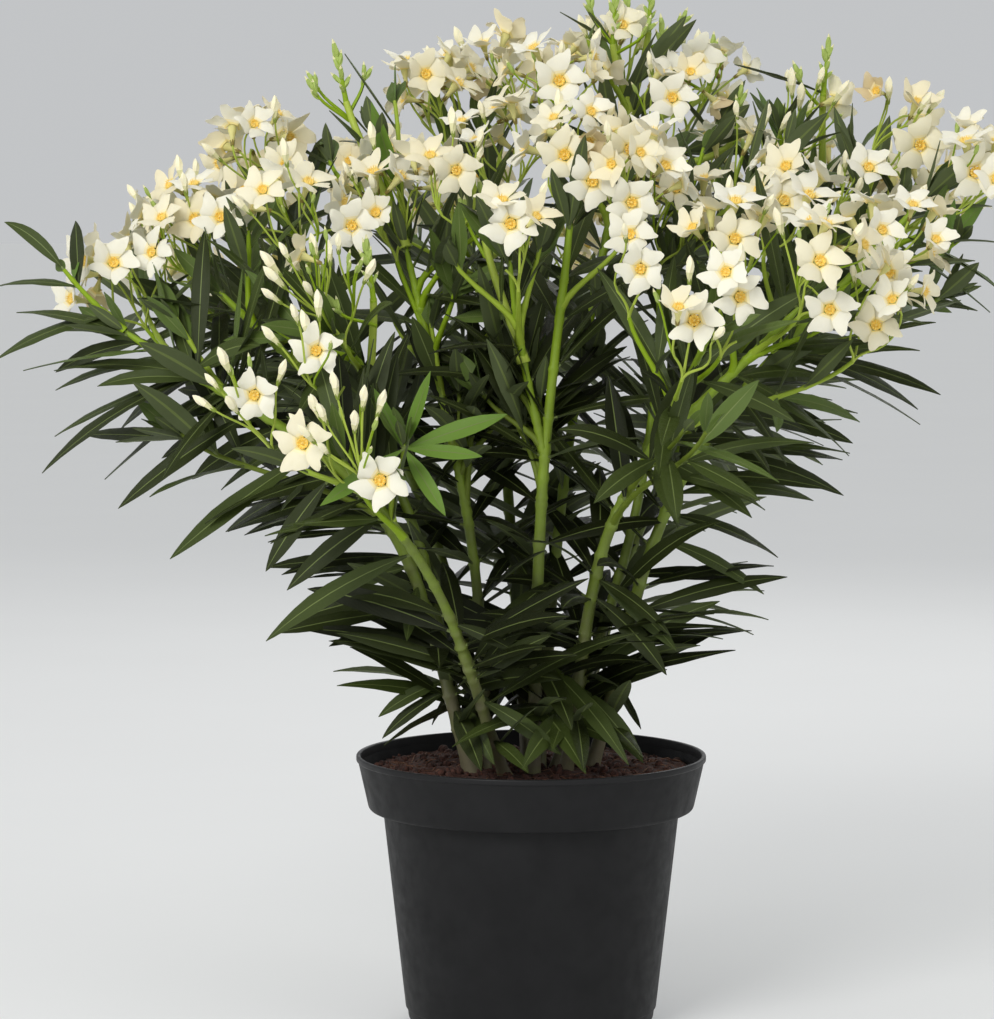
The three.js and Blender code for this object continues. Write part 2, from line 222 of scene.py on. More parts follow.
# Which piece stands for which solids.
LEAF_SECTORS = {
    "leaves_left_side": ("leaves_low_left", "leaves_mid_left", "leaves_mid_front", "leaves_upper_left"),
    "leaves_right_side": (
        "leaves_low_right", "leaves_mid_right", "leaves_mid_front_right", "leaves_upper_right",
    ),
    "leaves_middle": ("leaves_low_front", "leaves_heart", "leaves_crown"),
    "leaves_back_side": (
        "leaves_low_back", "leaves_mid_back_right", "leaves_mid_back_left",
        "leaves_upper_back", "leaves_upper_back_left", "leaves_upper_back_right",
    ),
}
FLOWER_SECTORS = {
    "left_side": (
        "blossom_left_tip", "blossom_left", "blossom_left_high", "blossom_left_mid",
        "blossom_left_inner", "blossom_front_left", "blossom_front_low",
    ),
    "middle": (
        "blossom_crown_left", "blossom_crown_back", "blossom_centre", "blossom_centre_front",
        "blossom_heart", "blossom_crown_right",
    ),
    "right_side": (
        "blossom_right_high", "blossom_right_inner", "blossom_right_top", "blossom_right",
        "blossom_front_right",
    ),
    "back_side": ("blossom_back_left", "blossom_back", "blossom_back_right", "blossom_back_far"),
}
SPROUTS = ("sprout_left", "sprout_crown")

# Stems that show from the front between the leaves.
OPEN_STEMS = (
    "stem_centre", "stem_right", "stem_right_far", "stem_left_front", "stem_left_low", "stem_centre_left",
)

# Stems stay clear of leaves above the first height, and no twigs end below the second.
OPEN_HEIGHT = 0.36
TWIG_HEIGHT = 0.47

# How steeply twigs climb at the least, and how far leaf tips may leave the crown's masses.
LEAST_CLIMB = 0.38
CROWN_MARGIN = 1.14

# Room before a flower's face that stalks and buds keep free, and each stalk's room from flowers.
FACE_ROOM = 0.013
STALK_ROOM = 0.0095

# Places before a flower's face that leaves keep clear of, and by how much.
FACE_STEPS = (0.0, 0.014, 0.028)
LEAF_ROOM = 0.012

# Room that leaves leave free beside an open stem, where they pass this far in front of it.
STEM_ROOM = 0.011
STEM_FRONT = 0.012

# Depth of the crown's upright middle line behind the pot's.
MIDDLE_DEPTH = 0.04

# About how many litres an ellipsoid holds whose half sizes have a product of one cubic metre.
ELLIPSOID_LITRES = 4190

# Most side shoots and low whorls that fill one leafy part, the share of ripe buds, and the points
# along a stalk.
MOST_SHOOTS = 14
RIPE_BUDS = 0.7
STALK_POINTS = 7

# How far the twig forks below the middle of a flower head or the tip of a bud shoot.
HEAD_FORK = 0.046
SHOOT_FORK = 0.050


# ---- Settings ----

def screen_colour(*screen):
    """A colour given in screen values from 0 to 255, as linear values with full alpha."""
    parts = [value / 255 for value in screen]
    linear = [part / 12.92 if part <= 0.04045 else ((part + 0.055) / 1.055) ** 2.4 for part in parts]
    return (*linear, 1.0)


def length(name, description, default):
    """A length setting in metres."""
    return bpy.props.FloatProperty(
        name=name, description=description, default=default, min=0.0,
        unit="LENGTH", subtype="DISTANCE", precision=4,
    )


def share(name, description, default):
    """A setting from nought to one."""
    return bpy.props.FloatProperty(
        name=name, description=description, default=default, min=0.0, max=1.0, subtype="FACTOR",
    )


def colour(name, description, *screen):
    """A colour setting, its default given in screen values."""
    return bpy.props.FloatVectorProperty(
        name=name, description=description, default=screen_colour(*screen),
        size=4, min=0.0, max=1.0, subtype="COLOR",
    )


POT_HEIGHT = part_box("pot")[1].z
SOIL_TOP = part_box("soil")[1].z
LIP_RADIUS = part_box("pot")[1].x


class PotSettings(bpy.types.PropertyGroup):
    """Sizes and finish of the pot and its soil."""

    height: length("Height", "From the floor to the lip", POT_HEIGHT)
    lip_radius: length("Lip radius", "Outside radius of the rolled lip", LIP_RADIUS)
    lip_height: length("Lip height", "Depth of the rolled lip", 0.005)
    band_top: length("Band top radius", "Radius of the band under the lip", 0.1385)
    band_bottom: length("Band foot radius", "Radius of the band at its lower edge", 0.1305)
    band_depth: length("Band depth", "From the lip's top to the band's lower edge", 0.0435)
    body_top: length("Body top radius", "Radius of the body under the band", 0.1187)
    body_bottom: length("Body foot radius", "Radius of the body at its foot", 0.1007)
    foot_radius: length("Foot radius", "Radius of the set-back foot", 0.0977)
    foot_height: length("Foot height", "Height of the set-back foot", 0.011)
    wall: length("Wall", "Thickness of the plastic", 0.0024)
    plastic: colour("Plastic", "Matt dark plastic", 20, 20, 21)
    # The paler plastic makes random rubbed patches on the body, and makes the whole lip paler as a painted
    # highlight.
    plastic_rubbed_and_lit: colour("Rubbed plastic", "Plastic where it has been handled", 27, 27, 28)
    soil_dark: colour("Wet soil", "Darker grains of the soil", 34, 21, 17)
    soil_warm: colour("Peat", "Redder grains of the soil", 88, 52, 40)
    fibre: colour("Fibre", "Dry fibres on the soil", 128, 92, 66)
    crumbs: bpy.props.IntProperty(name="Crumbs", description="Loose lumps on the soil", default=620, min=0)
    fibres: bpy.props.IntProperty(name="Fibres", description="Fibres on the soil", default=240, min=0)


class StemSettings(bpy.types.PropertyGroup):
    """Sizes and colours of stems, boughs and twigs."""

    swelling: share("Node swelling", "How far a node stands out, as a share of the radius", 0.22)
    bark_relief: share("Bark relief", "Depth of the furrows at the foot, as a share of the radius", 0.12)
    twig_base: length("Twig base radius", "Radius where a twig leaves its limb", 0.0026)
    twig_tip: length("Twig tip radius", "Radius under a flower head", 0.0016)
    stalk_radius: length("Stalk radius", "Radius of a flower's own stalk", 0.0009)
    bark_grey: colour("Old bark", "Grey-brown bark at the foot", 112, 106, 82)
    bark_olive: colour("Olive bark", "Bark between old wood and green shoots", 104, 120, 40)
    shoot_green: colour("Green shoot", "Fresh upper stems and twigs", 134, 162, 28)
    shoot_yellow: colour("Yellow shoot", "Youngest stalks", 168, 186, 74)


class LeafSettings(bpy.types.PropertyGroup):
    """Sizes and colours of the leaves."""

    length: length("Leaf length", "Length of a full-grown leaf", 0.126)
    breadth: length("Leaf breadth", "Width of a full-grown leaf", 0.0168)
    fold: share("Fold", "How far the halves of the blade fold upward", 0.22)
    stem_spacing: length("Whorl spacing on stems", "Distance between whorls on the stems", 0.034)
    twig_spacing: length("Whorl spacing on twigs", "Distance between whorls on the twigs", 0.024)
    crowding: bpy.props.FloatProperty(
        name="Crowding", description="Leaves wanted in a litre of leafy crown", default=22.0, min=0.0,
    )
    # The five tints go out by a tone that is partly painted light and shade: the deepest and dark ones
    # also stand for shade deep inside the crown, the light ones for the lit rim and top.
    deep: colour("Deepest leaf", "Old leaves inside the plant", 29, 34, 12)
    dark: colour("Dark leaf", "Old leaves", 45, 53, 21)
    middle: colour("Full-grown leaf", "Leaves of this year", 63, 75, 32)
    light: colour("Light leaf", "Upper leaves", 86, 105, 46)
    young: colour("Young leaf", "Leaves just opened", 98, 128, 46)
    rib: colour("Midrib", "Pale rib and stalk of a leaf", 106, 119, 66)
    underside: colour("Underside", "Matt back of a leaf", 84, 94, 60)


class FlowerSettings(bpy.types.PropertyGroup):
    """Sizes and colours of flowers and buds."""

    petal_length: length("Petal length", "From the throat to the tip", 0.0150)
    petal_breadth: length("Petal breadth", "Across the widest part", 0.0162)
    throat_radius: length("Throat radius", "Radius of the funnel's mouth", 0.0038)
    tube_length: length("Tube length", "From the calyx to the mouth", 0.0185)
    spacing: length("Flower spacing", "Least distance between two flowers", 0.0205)
    bud_length: length("Bud length", "Length of a ripe bud", 0.0225)
    spent: share("Spent flowers", "Share of flowers that have faded", 0.07)
    white: colour("White petal", "Freshest petals", 254, 249, 226)
    ivory: colour("Ivory petal", "Open petals", 252, 243, 208)
    cream: colour("Cream petal", "Older petals", 250, 238, 198)
    faded: colour("Faded petal", "Spent petals", 226, 204, 156)
    glow: colour("Petal base", "Yellow glow by the throat", 252, 232, 156)
    gold: colour("Throat", "Inside of the funnel", 255, 226, 118)
    line: colour("Throat lines", "Fine lines in the throat", 253, 204, 88)
    tube: colour("Tube", "Outside of the funnel", 216, 210, 140)
    calyx: colour("Calyx", "Sepals and worn stalks under the open flowers", 138, 124, 62)
    bud_green: colour("Green bud", "Young bud", 164, 184, 96)


class StageSettings(bpy.types.PropertyGroup):
    """Floor, lights and camera."""

    floor_radius: length("Floor radius", "Size of the floor", 60.0)
    floor: colour("Floor", "Pale floor", 214, 214, 212)
    sky: colour("Surround", "Pale light from all round", 206, 208, 210)
    sky_strength: bpy.props.FloatProperty(
        name="Surround strength", description="Brightness of the surround", default=0.88, min=0.0,
    )
    key_power: bpy.props.FloatProperty(
        name="Key power", description="Power of the main light", default=68.0, min=0.0, unit="POWER",
    )
    fill_power: bpy.props.FloatProperty(
        name="Fill power", description="Power of the fill light", default=10.0, min=0.0, unit="POWER",
    )
    camera_distance: length("Camera distance", "From the plant's middle plane", 2.9896)
    camera_height: length("Camera height", "Above the floor", 0.655)
    camera_side: bpy.props.FloatProperty(
        name="Camera side", description="Sideways place of the camera", default=-0.0273, unit="LENGTH",
    )
    camera_pitch: bpy.props.FloatProperty(
        name="Camera pitch", description="Angle below the horizon", default=math.radians(4.644),
        unit="ROTATION",
    )
    lens: bpy.props.FloatProperty(
        name="Lens", description="Focal length on a 36 mm sensor", default=132.98, unit="CAMERA",
    )


def settings(name):
    """The settings group of that name."""
    return getattr(bpy.context.scene, "oleander_" + name)


# ---- Vectors, noise and curves ----

def unit(vectors):
    """Vectors scaled to length one along the last axis."""
    vectors = np.asarray(vectors, float)
    return vectors / np.maximum(np.linalg.norm(vectors, axis=-1, keepdims=True), 1e-9)


def mix(low, high, part):
    """The value that lies a part of the way from low to high."""
    return low + (high - low) * part


def metres(millimetres):
    """Places given in millimetres, as an array in metres."""
    return np.array(millimetres) / 1000


def jitter(rng, size):
    """A random vector whose parts lie within the size."""
    return np.array([rng.uniform(-size, size) for _ in range(3)])


def ring_angles(count):
    """Even angles round a full turn."""
    return np.linspace(0, 2 * math.pi, count, endpoint=False)


def columns(rows, *places):
    """The given columns of a list of rows, each as an array."""
    return [np.array([row[place] for row in rows]) for place in places]


def across_axes(heading, helper):
    """Two vectors square to the heading and to each other."""
    first = unit(np.cross(heading, helper))
    return first, np.cross(heading, first)


def spoke(axes, angle):
    """The direction at an angle between two axes."""
    return axes[0] * math.cos(angle) + axes[1] * math.sin(angle)


def round_axis(radius, offset, height, turn):
    """Places at a radius and a turn about an upright axis, set off sideways and raised."""
    return np.stack(np.broadcast_arrays(
        radius * np.cos(turn) + offset * np.sin(turn),
        radius * np.sin(turn) - offset * np.cos(turn),
        height,
    ), axis=-1)


def middles_and_halves(nodes):
    """Middles and half sizes of the boxes of the solid model's nodes."""
    boxes = np.array([[tuple(corner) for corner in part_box(node)] for node in nodes])
    return (boxes[:, 0] + boxes[:, 1]) / 2, (boxes[:, 1] - boxes[:, 0]) / 2


def lumps(points, size, seed):
    """Smooth random heights from -1 to 1 at the points, with lumps of the given size."""
    cells = np.asarray(points) / size
    corner = np.floor(cells).astype(np.int64)
    part = cells - corner
    part = part * part * (3 - 2 * part)
    total = 0.0
    for offset in np.ndindex(2, 2, 2):
        spot = corner + np.array(offset)
        mixed = spot[..., 0] * 73856093 ^ spot[..., 1] * 19349663 ^ spot[..., 2] * 83492791 ^ seed * 7919
        mixed = (mixed * 1103515245 + 12345) % 2147483647
        weight = np.prod(np.where(np.array(offset) == 1, part, 1 - part), axis=-1)
        total = total + weight * (mixed / 1073741823.5 - 1)
    return total


def reach_along(line):
    """Distance along a line from its first point to each of its points."""
    steps = np.linalg.norm(np.diff(line, axis=0), axis=1)
    return np.concatenate(([0.0], np.cumsum(steps)))


def points_at(line, reach, distances):
    """Points at the given distances along a line."""
    return np.stack([np.interp(distances, reach, line[:, axis]) for axis in range(3)], axis=-1)


def spread_evenly(line, count):
    """The line's points laid out again at even distances."""
    reach = reach_along(line)
    return points_at(line, reach, np.linspace(0, reach[-1], count))


def knee_curve(start, knee, tip, count=60):
    """A smooth curve through three points, with even tension in both halves."""
    points = [np.array(start, float), np.array(knee, float), np.array(tip, float)]
    points = [2 * points[0] - points[1], *points, 2 * points[2] - points[1]]
    line = []
    for first in (0, 1):
        p0, p1, p2, p3 = points[first:first + 4]
        gaps = [math.sqrt(np.linalg.norm(b - a)) for a, b in ((p0, p1), (p1, p2), (p2, p3))]
        leave = (p1 - p0) / gaps[0] - (p2 - p0) / (gaps[0] + gaps[1]) + (p2 - p1) / gaps[1]
        arrive = (p2 - p1) / gaps[1] - (p3 - p1) / (gaps[1] + gaps[2]) + (p3 - p2) / gaps[2]
        for t in np.linspace(0, 1, 40):
            line.append(
                (2 * t**3 - 3 * t**2 + 1) * p1 + (t**3 - 2 * t**2 + t) * gaps[1] * leave
                + (3 * t**2 - 2 * t**3) * p2 + (t**3 - t**2) * gaps[1] * arrive
            )
    return spread_evenly(np.array(line), count)


def arc_between(start, start_heading, end, end_heading, count, pull=0.36):
    """A cubic curve from start to end that leaves and arrives along the headings."""
    start, end = np.asarray(start, float), np.asarray(end, float)
    handle = np.linalg.norm(end - start) * pull
    inner = start + unit(start_heading) * handle
    outer = end - unit(end_heading) * handle
    t = np.linspace(0, 1, count)[:, None]
    return (1 - t)**3 * start + 3 * (1 - t)**2 * t * inner + 3 * (1 - t) * t**2 * outer + t**3 * end


def headings_of(lines):
    """Unit directions along lines of shape (copies, stations, 3)."""
    return unit(np.gradient(lines, axis=1))


def axes_facing(facing, spin):
    """Right-handed axes (copies, 3, 3), one per row, whose third axis is the facing."""
    facing = unit(facing)
    helper = np.where(np.abs(facing[:, 2:3]) < 0.9, UP, np.array((1.0, 0.0, 0.0)))
    first = unit(np.cross(helper, facing))
    second = np.cross(facing, first)
    cosine, sine = np.cos(spin)[:, None], np.sin(spin)[:, None]
    return np.stack([first * cosine + second * sine, second * cosine - first * sine, facing], axis=1)


def placed(shapes, origins, axes):
    """Shapes of (copies, ..., 3) in their own axes, moved to their places."""
    flat = shapes.reshape(shapes.shape[0], -1, 3)
    return (flat @ axes + origins[:, None, :]).reshape(shapes.shape)


# ---- Meshes ----

class Sheaf:
    """Gathers closed lofts and makes one mesh of them."""

    def __init__(self):
        self.points = []
        self.corners = []
        self.sizes = []
        self.slots = []
        self.uvs = []
        self.count = 0

    def add(self, rings, slots, across=None):
        """Adds lofts. Rings have shape (copies, stations, ring, 3) and run right-handed round the loft."""
        copies, stations, ring, _ = rings.shape
        index = np.arange(copies * stations * ring).reshape(copies, stations, ring) + self.count
        turned = np.roll(index, -1, axis=2)
        quads = np.stack([index[:, :-1], turned[:, :-1], turned[:, 1:], index[:, 1:]], axis=-1)
        slots = np.broadcast_to(slots, (copies, stations - 1, ring))
        here = np.arange(ring) / ring if across is None else np.asarray(across, float)
        beside = here + 1 / ring if across is None else np.roll(here, -1)
        along = np.linspace(0, 1, stations)
        before, after = along[:-1, None], along[1:, None]
        uv = np.stack([
            np.stack(np.broadcast_arrays(*corner), -1)
            for corner in ((here, before), (beside, before), (beside, after), (here, after))
        ], axis=-2)
        caps = np.concatenate([index[:, 0, ::-1], index[:, -1, :]])
        self.points.append(rings.reshape(-1, 3))
        self.corners += [quads.reshape(-1), caps.reshape(-1)]
        self.sizes += [np.full(quads.size // 4, 4), np.full(len(caps), ring)]
        self.slots += [slots.reshape(-1), slots[:, 0, 0], slots[:, -1, 0]]
        self.uvs += [np.broadcast_to(uv, (copies, *uv.shape)).reshape(-1, 2), np.zeros((caps.size, 2))]
        self.count += copies * stations * ring

    def piece(self, name, materials, sharp, slot=None, nodes=()):
        """Makes the mesh and its object. A piece with a slot rides on the plant's body."""
        if not self.points:
            raise RuntimeError(f"{name} has nothing to build")
        mesh = bpy.data.meshes.new(name)
        points = np.concatenate(self.points).astype(np.float32)
        corners, sizes, slots = (
            np.concatenate(parts).astype(np.int32) for parts in (self.corners, self.sizes, self.slots)
        )
        starts = np.concatenate(([0], np.cumsum(sizes)[:-1])).astype(np.int32)
        mesh.vertices.add(len(points))
        mesh.loops.add(len(corners))
        mesh.polygons.add(len(sizes))
        mesh.vertices.foreach_set("co", points.ravel())
        mesh.loops.foreach_set("vertex_index", corners)
        mesh.polygons.foreach_set("loop_start", starts)
        mesh.polygons.foreach_set("material_index", slots)
        mesh.polygons.foreach_set("use_smooth", np.ones(len(sizes), bool))
        mesh.update(calc_edges=True)
        layer = mesh.uv_layers.new(name="Along")
        layer.data.foreach_set("uv", np.concatenate(self.uvs).astype(np.float32).ravel())
        mesh.set_sharp_from_angle(angle=math.radians(sharp))
        for material in materials:
            mesh.materials.append(material)
        made = bpy.data.objects.new(name, mesh)
        bpy.context.scene.collection.objects.link(made)
        if slot:
            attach(made, BODY)
        if nodes:
            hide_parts(*nodes)
        return made


def tube_rings(lines, radii, sides):
    """Rings round lines of shape (copies, stations, 3). Radii are (copies, stations) or one per side."""
    heading = headings_of(lines)
    helper = np.where(np.abs(heading[:, 0, 2:3]) < 0.9, UP, np.array((1.0, 0.0, 0.0)))
    normal = unit(np.cross(helper, heading[:, 0]))
    normals = [normal]
    for station in range(1, lines.shape[1]):
        ahead = heading[:, station]
        normal = unit(normal - ahead * np.sum(normal * ahead, axis=1, keepdims=True))
        normals.append(normal)
    normals = np.stack(normals, axis=1)[:, :, None, :]
    across = np.cross(heading[:, :, None, :], normals)
    angle = ring_angles(sides)[:, None]
    radii = radii[..., None] if radii.ndim == 2 else radii
    outward = normals * np.cos(angle) + across * np.sin(angle)
    return lines[:, :, None, :] + outward * radii[..., None]


def turned_rings(outline, sides):
    """Rings of a shape turned about the upright axis from an outline of (radius, height)."""
    outline = np.asarray(outline, float)
    return round_axis(outline[:, :1], 0.0, outline[:, 1:], ring_angles(sides))[None]


def rounded(corners, steps=5):
    """An outline through (radius, height, rounding) corners, each rounded by its own radius."""
    points = [np.array(corner[:2], float) for corner in corners]
    outline = [points[0]]
    for before, here, after, corner in zip(points, points[1:], points[2:], corners[1:]):
        back, ahead = before - here, after - here
        room = 0.49 * min(np.linalg.norm(back), np.linalg.norm(ahead))
        half = math.acos(float(np.clip(np.dot(unit(back), unit(ahead)), -1, 1))) / 2
        cut = min(corner[2] / max(math.tan(half), 1e-3), room)
        start, end = here + unit(back) * cut, here + unit(ahead) * cut
        for t in np.linspace(0, 1, steps):
            outline.append((1 - t)**2 * start + 2 * (1 - t) * t * here + t**2 * end)
    outline.append(points[-1])
    return outline


# ---- Node groups and materials ----

def node_in(tree, kind, **values):
    """Adds a node. Values set its properties, or its inputs where the name is an input's."""
    made = tree.nodes.new(kind)
    for name, value in values.items():
        label = name.replace("_", " ").title()
        if label in made.inputs:
            made.inputs[label].default_value = value
        else:
            setattr(made, name, value)
    return made


def feed(tree, socket, value):
    """Gives an input its value: another node's socket, or a plain value."""
    if isinstance(value, bpy.types.NodeSocket):
        tree.links.new(value, socket)
    else:
        socket.default_value = value


def maths(tree, operation, *values):
    """Adds a Math node fed by sockets or numbers and returns its output."""
    made = node_in(tree, "ShaderNodeMath", operation=operation)
    for socket, value in zip(made.inputs, values):
        feed(tree, socket, value)
    return made.outputs[0]


def noise_in(tree, detail, scale, stretch=None):
    """Noise over the plant's own space. Scale and stretch may be sockets."""
    spot = tree.nodes.new("ShaderNodeNewGeometry").outputs["Position"]
    if stretch:
        stretched = node_in(tree, "ShaderNodeVectorMath", operation="MULTIPLY")
        feed(tree, stretched.inputs[0], spot)
        feed(tree, stretched.inputs[1], stretch)
        spot = stretched.outputs["Vector"]
    noise = node_in(tree, "ShaderNodeTexNoise", detail=detail)
    feed(tree, noise.inputs["Scale"], scale)
    feed(tree, noise.inputs["Vector"], spot)
    return noise.outputs["Fac"]


def group_named(name, inputs, outputs, build):
    """The node group of that name, built once. Inputs are (name, type, default)."""
    if name in bpy.data.node_groups:
        return bpy.data.node_groups[name]
    tree = bpy.data.node_groups.new(name, "ShaderNodeTree")
    for label, kind, default in inputs:
        socket = tree.interface.new_socket(name=label, in_out="INPUT", socket_type=kind)
        socket.default_value = default
    for label, kind in outputs:
        tree.interface.new_socket(name=label, in_out="OUTPUT", socket_type=kind)
    build(tree, tree.nodes.new("NodeGroupInput").outputs, tree.nodes.new("NodeGroupOutput").inputs)
    return tree


def uneven_value():
    """A value that wanders between two limits over the surface."""
    def build(tree, given, result):
        spread = node_in(tree, "ShaderNodeMapRange", from_min=0.3, from_max=0.7)
        feed(tree, spread.inputs["Value"], noise_in(tree, 3.0, given["Scale"]))
        feed(tree, spread.inputs["To Min"], given["Low"])
        feed(tree, spread.inputs["To Max"], given["High"])
        feed(tree, result["Value"], spread.outputs["Result"])
    inputs = (("Scale", NUMBER, 200.0), ("Low", NUMBER, 0.4), ("High", NUMBER, 0.6))
    return group_named("Uneven value", inputs, (("Value", NUMBER),), build)


def fine_veins():
    """Height of slanting side veins on both sides of a rib, with a fine grain between them."""
    def build(tree, given, result):
        uv = node_in(tree, "ShaderNodeUVMap", uv_map="Along")
        parts = tree.nodes.new("ShaderNodeSeparateXYZ")
        feed(tree, parts.inputs["Vector"], uv.outputs["UV"])
        slant = maths(tree, "MULTIPLY", maths(tree, "ABSOLUTE", parts.outputs["X"]), given["Slant"])
        run = maths(tree, "MULTIPLY", parts.outputs["Y"], given["Veins"])
        wave = maths(tree, "SINE", maths(tree, "SUBTRACT", run, slant))
        ridge = maths(tree, "POWER", maths(tree, "ABSOLUTE", wave), 3.0)
        grain = maths(tree, "MULTIPLY", noise_in(tree, 2.0, 900.0), given["Grain"])
        feed(tree, result["Height"], maths(tree, "ADD", ridge, grain))
    inputs = (("Veins", NUMBER, 160.0), ("Slant", NUMBER, 12.0), ("Grain", NUMBER, 0.4))
    return group_named("Fine veins", inputs, (("Height", NUMBER),), build)


def grain_relief():
    """Height of a fine irregular grain in the object's own space."""
    def build(tree, given, result):
        feed(tree, result["Height"], noise_in(tree, 4.0, given["Scale"], given["Stretch"]))
    inputs = (("Scale", NUMBER, 600.0), ("Stretch", "NodeSocketVector", (1.0, 1.0, 1.0)))
    return group_named("Grain relief", inputs, (("Height", NUMBER),), build)


def add_group(tree, group, **values):
    """Places a node group with its own values and returns its output."""
    return node_in(tree, "ShaderNodeGroup", node_tree=group, **values).outputs[0]


def mix_colour(first, second, part):
    """A colour part of the way between two others."""
    return tuple(mix(a, b, part) for a, b in zip(first, second))


def new_material(name, gloss, gloss_scale, specular=0.5):
    """A node material with an uneven gloss, and the inputs of its surface shader."""
    made = bpy.data.materials.new(name)
    made.use_nodes = True
    tree = made.node_tree
    tree.nodes.clear()
    surface = tree.nodes.new("ShaderNodeBsdfPrincipled")
    feed(tree, tree.nodes.new("ShaderNodeOutputMaterial").inputs["Surface"], surface.outputs["BSDF"])
    feed(tree, surface.inputs["Specular IOR Level"], specular)
    patches = add_group(tree, uneven_value(), low=gloss[0], high=gloss[1], scale=gloss_scale)
    feed(tree, surface.inputs["Roughness"], patches)
    return made, tree, surface.inputs


def add_bump(tree, surface, height, strength, distance):
    """Feeds a bump of that height to the surface."""
    bump = node_in(tree, "ShaderNodeBump", strength=strength, distance=distance)
    feed(tree, bump.inputs["Height"], height)
    feed(tree, surface["Normal"], bump.outputs["Normal"])


def living_material(name, tint, gloss, veins=None, glow=0.0, strength=0.35):
    """Leaf, petal or stalk: a plain colour with uneven gloss and a relief of veins or grain."""
    made, tree, surface = new_material(name, gloss, 240.0, 0.22)
    feed(tree, surface["Base Color"], tint)
    if glow:
        feed(tree, surface["Subsurface Weight"], glow)
        feed(tree, surface["Subsurface Radius"], (0.006, 0.005, 0.003))
        feed(tree, surface["Subsurface Scale"], 1.0)
    if veins:
        relief = add_group(tree, fine_veins(), veins=veins[0], slant=veins[1], grain=veins[2])
    else:
        relief = add_group(tree, grain_relief(), scale=900.0)
    add_bump(tree, surface, relief, strength, 0.0004)
    return made


def two_tone_material(name, tints, patch_scale, gloss, gloss_scale, grain, bump, specular=0.5):
    """Two colours mixed in soft patches, with an uneven gloss and a grainy relief."""
    made, tree, surface = new_material(name, gloss, gloss_scale, specular)
    blend = node_in(tree, "ShaderNodeMix", data_type="RGBA")
    patches = add_group(tree, uneven_value(), scale=patch_scale, low=0.0, high=1.0)
    for place, value in ((0, patches), (6, tints[0]), (7, tints[1])):
        feed(tree, blend.inputs[place], value)
    feed(tree, surface["Base Color"], blend.outputs[2])
    add_bump(tree, surface, add_group(tree, grain_relief(), **grain), *bump)
    return made


def plastic_material(name, plain, worn, gloss):
    """Matt moulded plastic, a little paler where it is rubbed, with faint rings from the mould."""
    grain = {"scale": 1500.0, "stretch": (1.0, 1.0, 1.6)}
    return two_tone_material(name, (plain, worn), 26.0, gloss, 90.0, grain, (0.22, 0.0003), 0.2)


def mottled_material(name, tints, scale, gloss, relief_scale, bump):
    """Two colours mixed by a grainy noise, with a rough relief."""
    return two_tone_material(name, tints, scale, gloss, scale, {"scale": relief_scale}, bump)


def bark_material():
    """Bark that turns from grey-brown at the foot through olive to fresh green higher up."""
    look = settings("stem")
    made, tree, surface = new_material("bark", (0.42, 0.66), 180.0)
    parts = tree.nodes.new("ShaderNodeSeparateXYZ")
    feed(tree, parts.inputs["Vector"], tree.nodes.new("ShaderNodeNewGeometry").outputs["Position"])
    patches = add_group(tree, uneven_value(), scale=70.0, low=-0.05, high=0.05)
    climb = node_in(tree, "ShaderNodeMapRange", from_min=SOIL_TOP, from_max=SOIL_TOP + 0.36)
    feed(tree, climb.inputs["Value"], maths(tree, "ADD", parts.outputs["Z"], patches))
    ramp = tree.nodes.new("ShaderNodeValToRGB")
    ramp.color_ramp.elements.new(0.42)
    for stop, tint in zip(ramp.color_ramp.elements, (look.bark_grey, look.bark_olive, look.shoot_green)):
        stop.color = tint
    feed(tree, ramp.inputs["Fac"], climb.outputs["Result"])
    feed(tree, surface["Base Color"], ramp.outputs["Color"])
    grain = add_group(tree, grain_relief(), scale=700.0, stretch=(1.0, 1.0, 0.25))
    add_bump(tree, surface, grain, 0.5, 0.0006)
    return made


# ---- Growth ----

class Shoot:
    """A stem, bough or twig: its centre line, its radii and the distances of its nodes."""

    def __init__(self, line, radii):
        self.line = np.asarray(line, float)
        self.reach = reach_along(self.line)
        self.length = float(self.reach[-1])
        self.headings = unit(np.gradient(self.line, axis=0))
        self.radii = radii
        self.nodes = []
        self.finish = 0

    def at(self, distance):
        """Point, heading and radius at a distance from the base."""
        point = points_at(self.line, self.reach, distance)
        heading = unit(points_at(self.headings, self.reach, distance))
        return point, heading, mix(*self.radii, distance / self.length)


class Leaves:
    """The leaves' places and shapes, one row each."""

    def __init__(self):
        self.rows = []

    def add(self, base, heading, upper, long, breadth, droop, tint, tip=None):
        """Adds a leaf. The tint counts from the deepest to the youngest colour."""
        self.rows.append((base, heading, upper, long, breadth, droop, tint, tip))

    def middles(self):
        """Points half-way along each leaf."""
        return np.array([row[0] + unit(row[1]) * row[3] / 2 for row in self.rows])


class Plant:
    """Everything that grows in the pot."""

    def __init__(self):
        self.limbs = {}
        self.twigs = []
        self.leaves = Leaves()
        self.flowers = []
        self.buds = []
        self.stalks = []


def outward_of(point):
    """How a point lies from the plant's upright middle line, as a level vector."""
    return np.array((point[0], point[1] - MIDDLE_DEPTH, 0.0))


def least_costly(shoots, cost_of):
    """The shoot and the place on its line where the cost is least."""
    best = None
    for shoot in shoots:
        cost = cost_of(shoot)
        spot = int(np.argmin(cost))
        if best is None or cost[spot] < best[0]:
            best = (cost[spot], shoot, spot)
    return best[1:]


def ways_to(target, shoot):
    """Ways from a shoot's points to a target, their lengths, and how well they follow the shoot."""
    way = target - shoot.line
    far = np.linalg.norm(way, axis=1)
    return way, far, np.sum(way * shoot.headings, axis=1) / np.maximum(far, 1e-6)


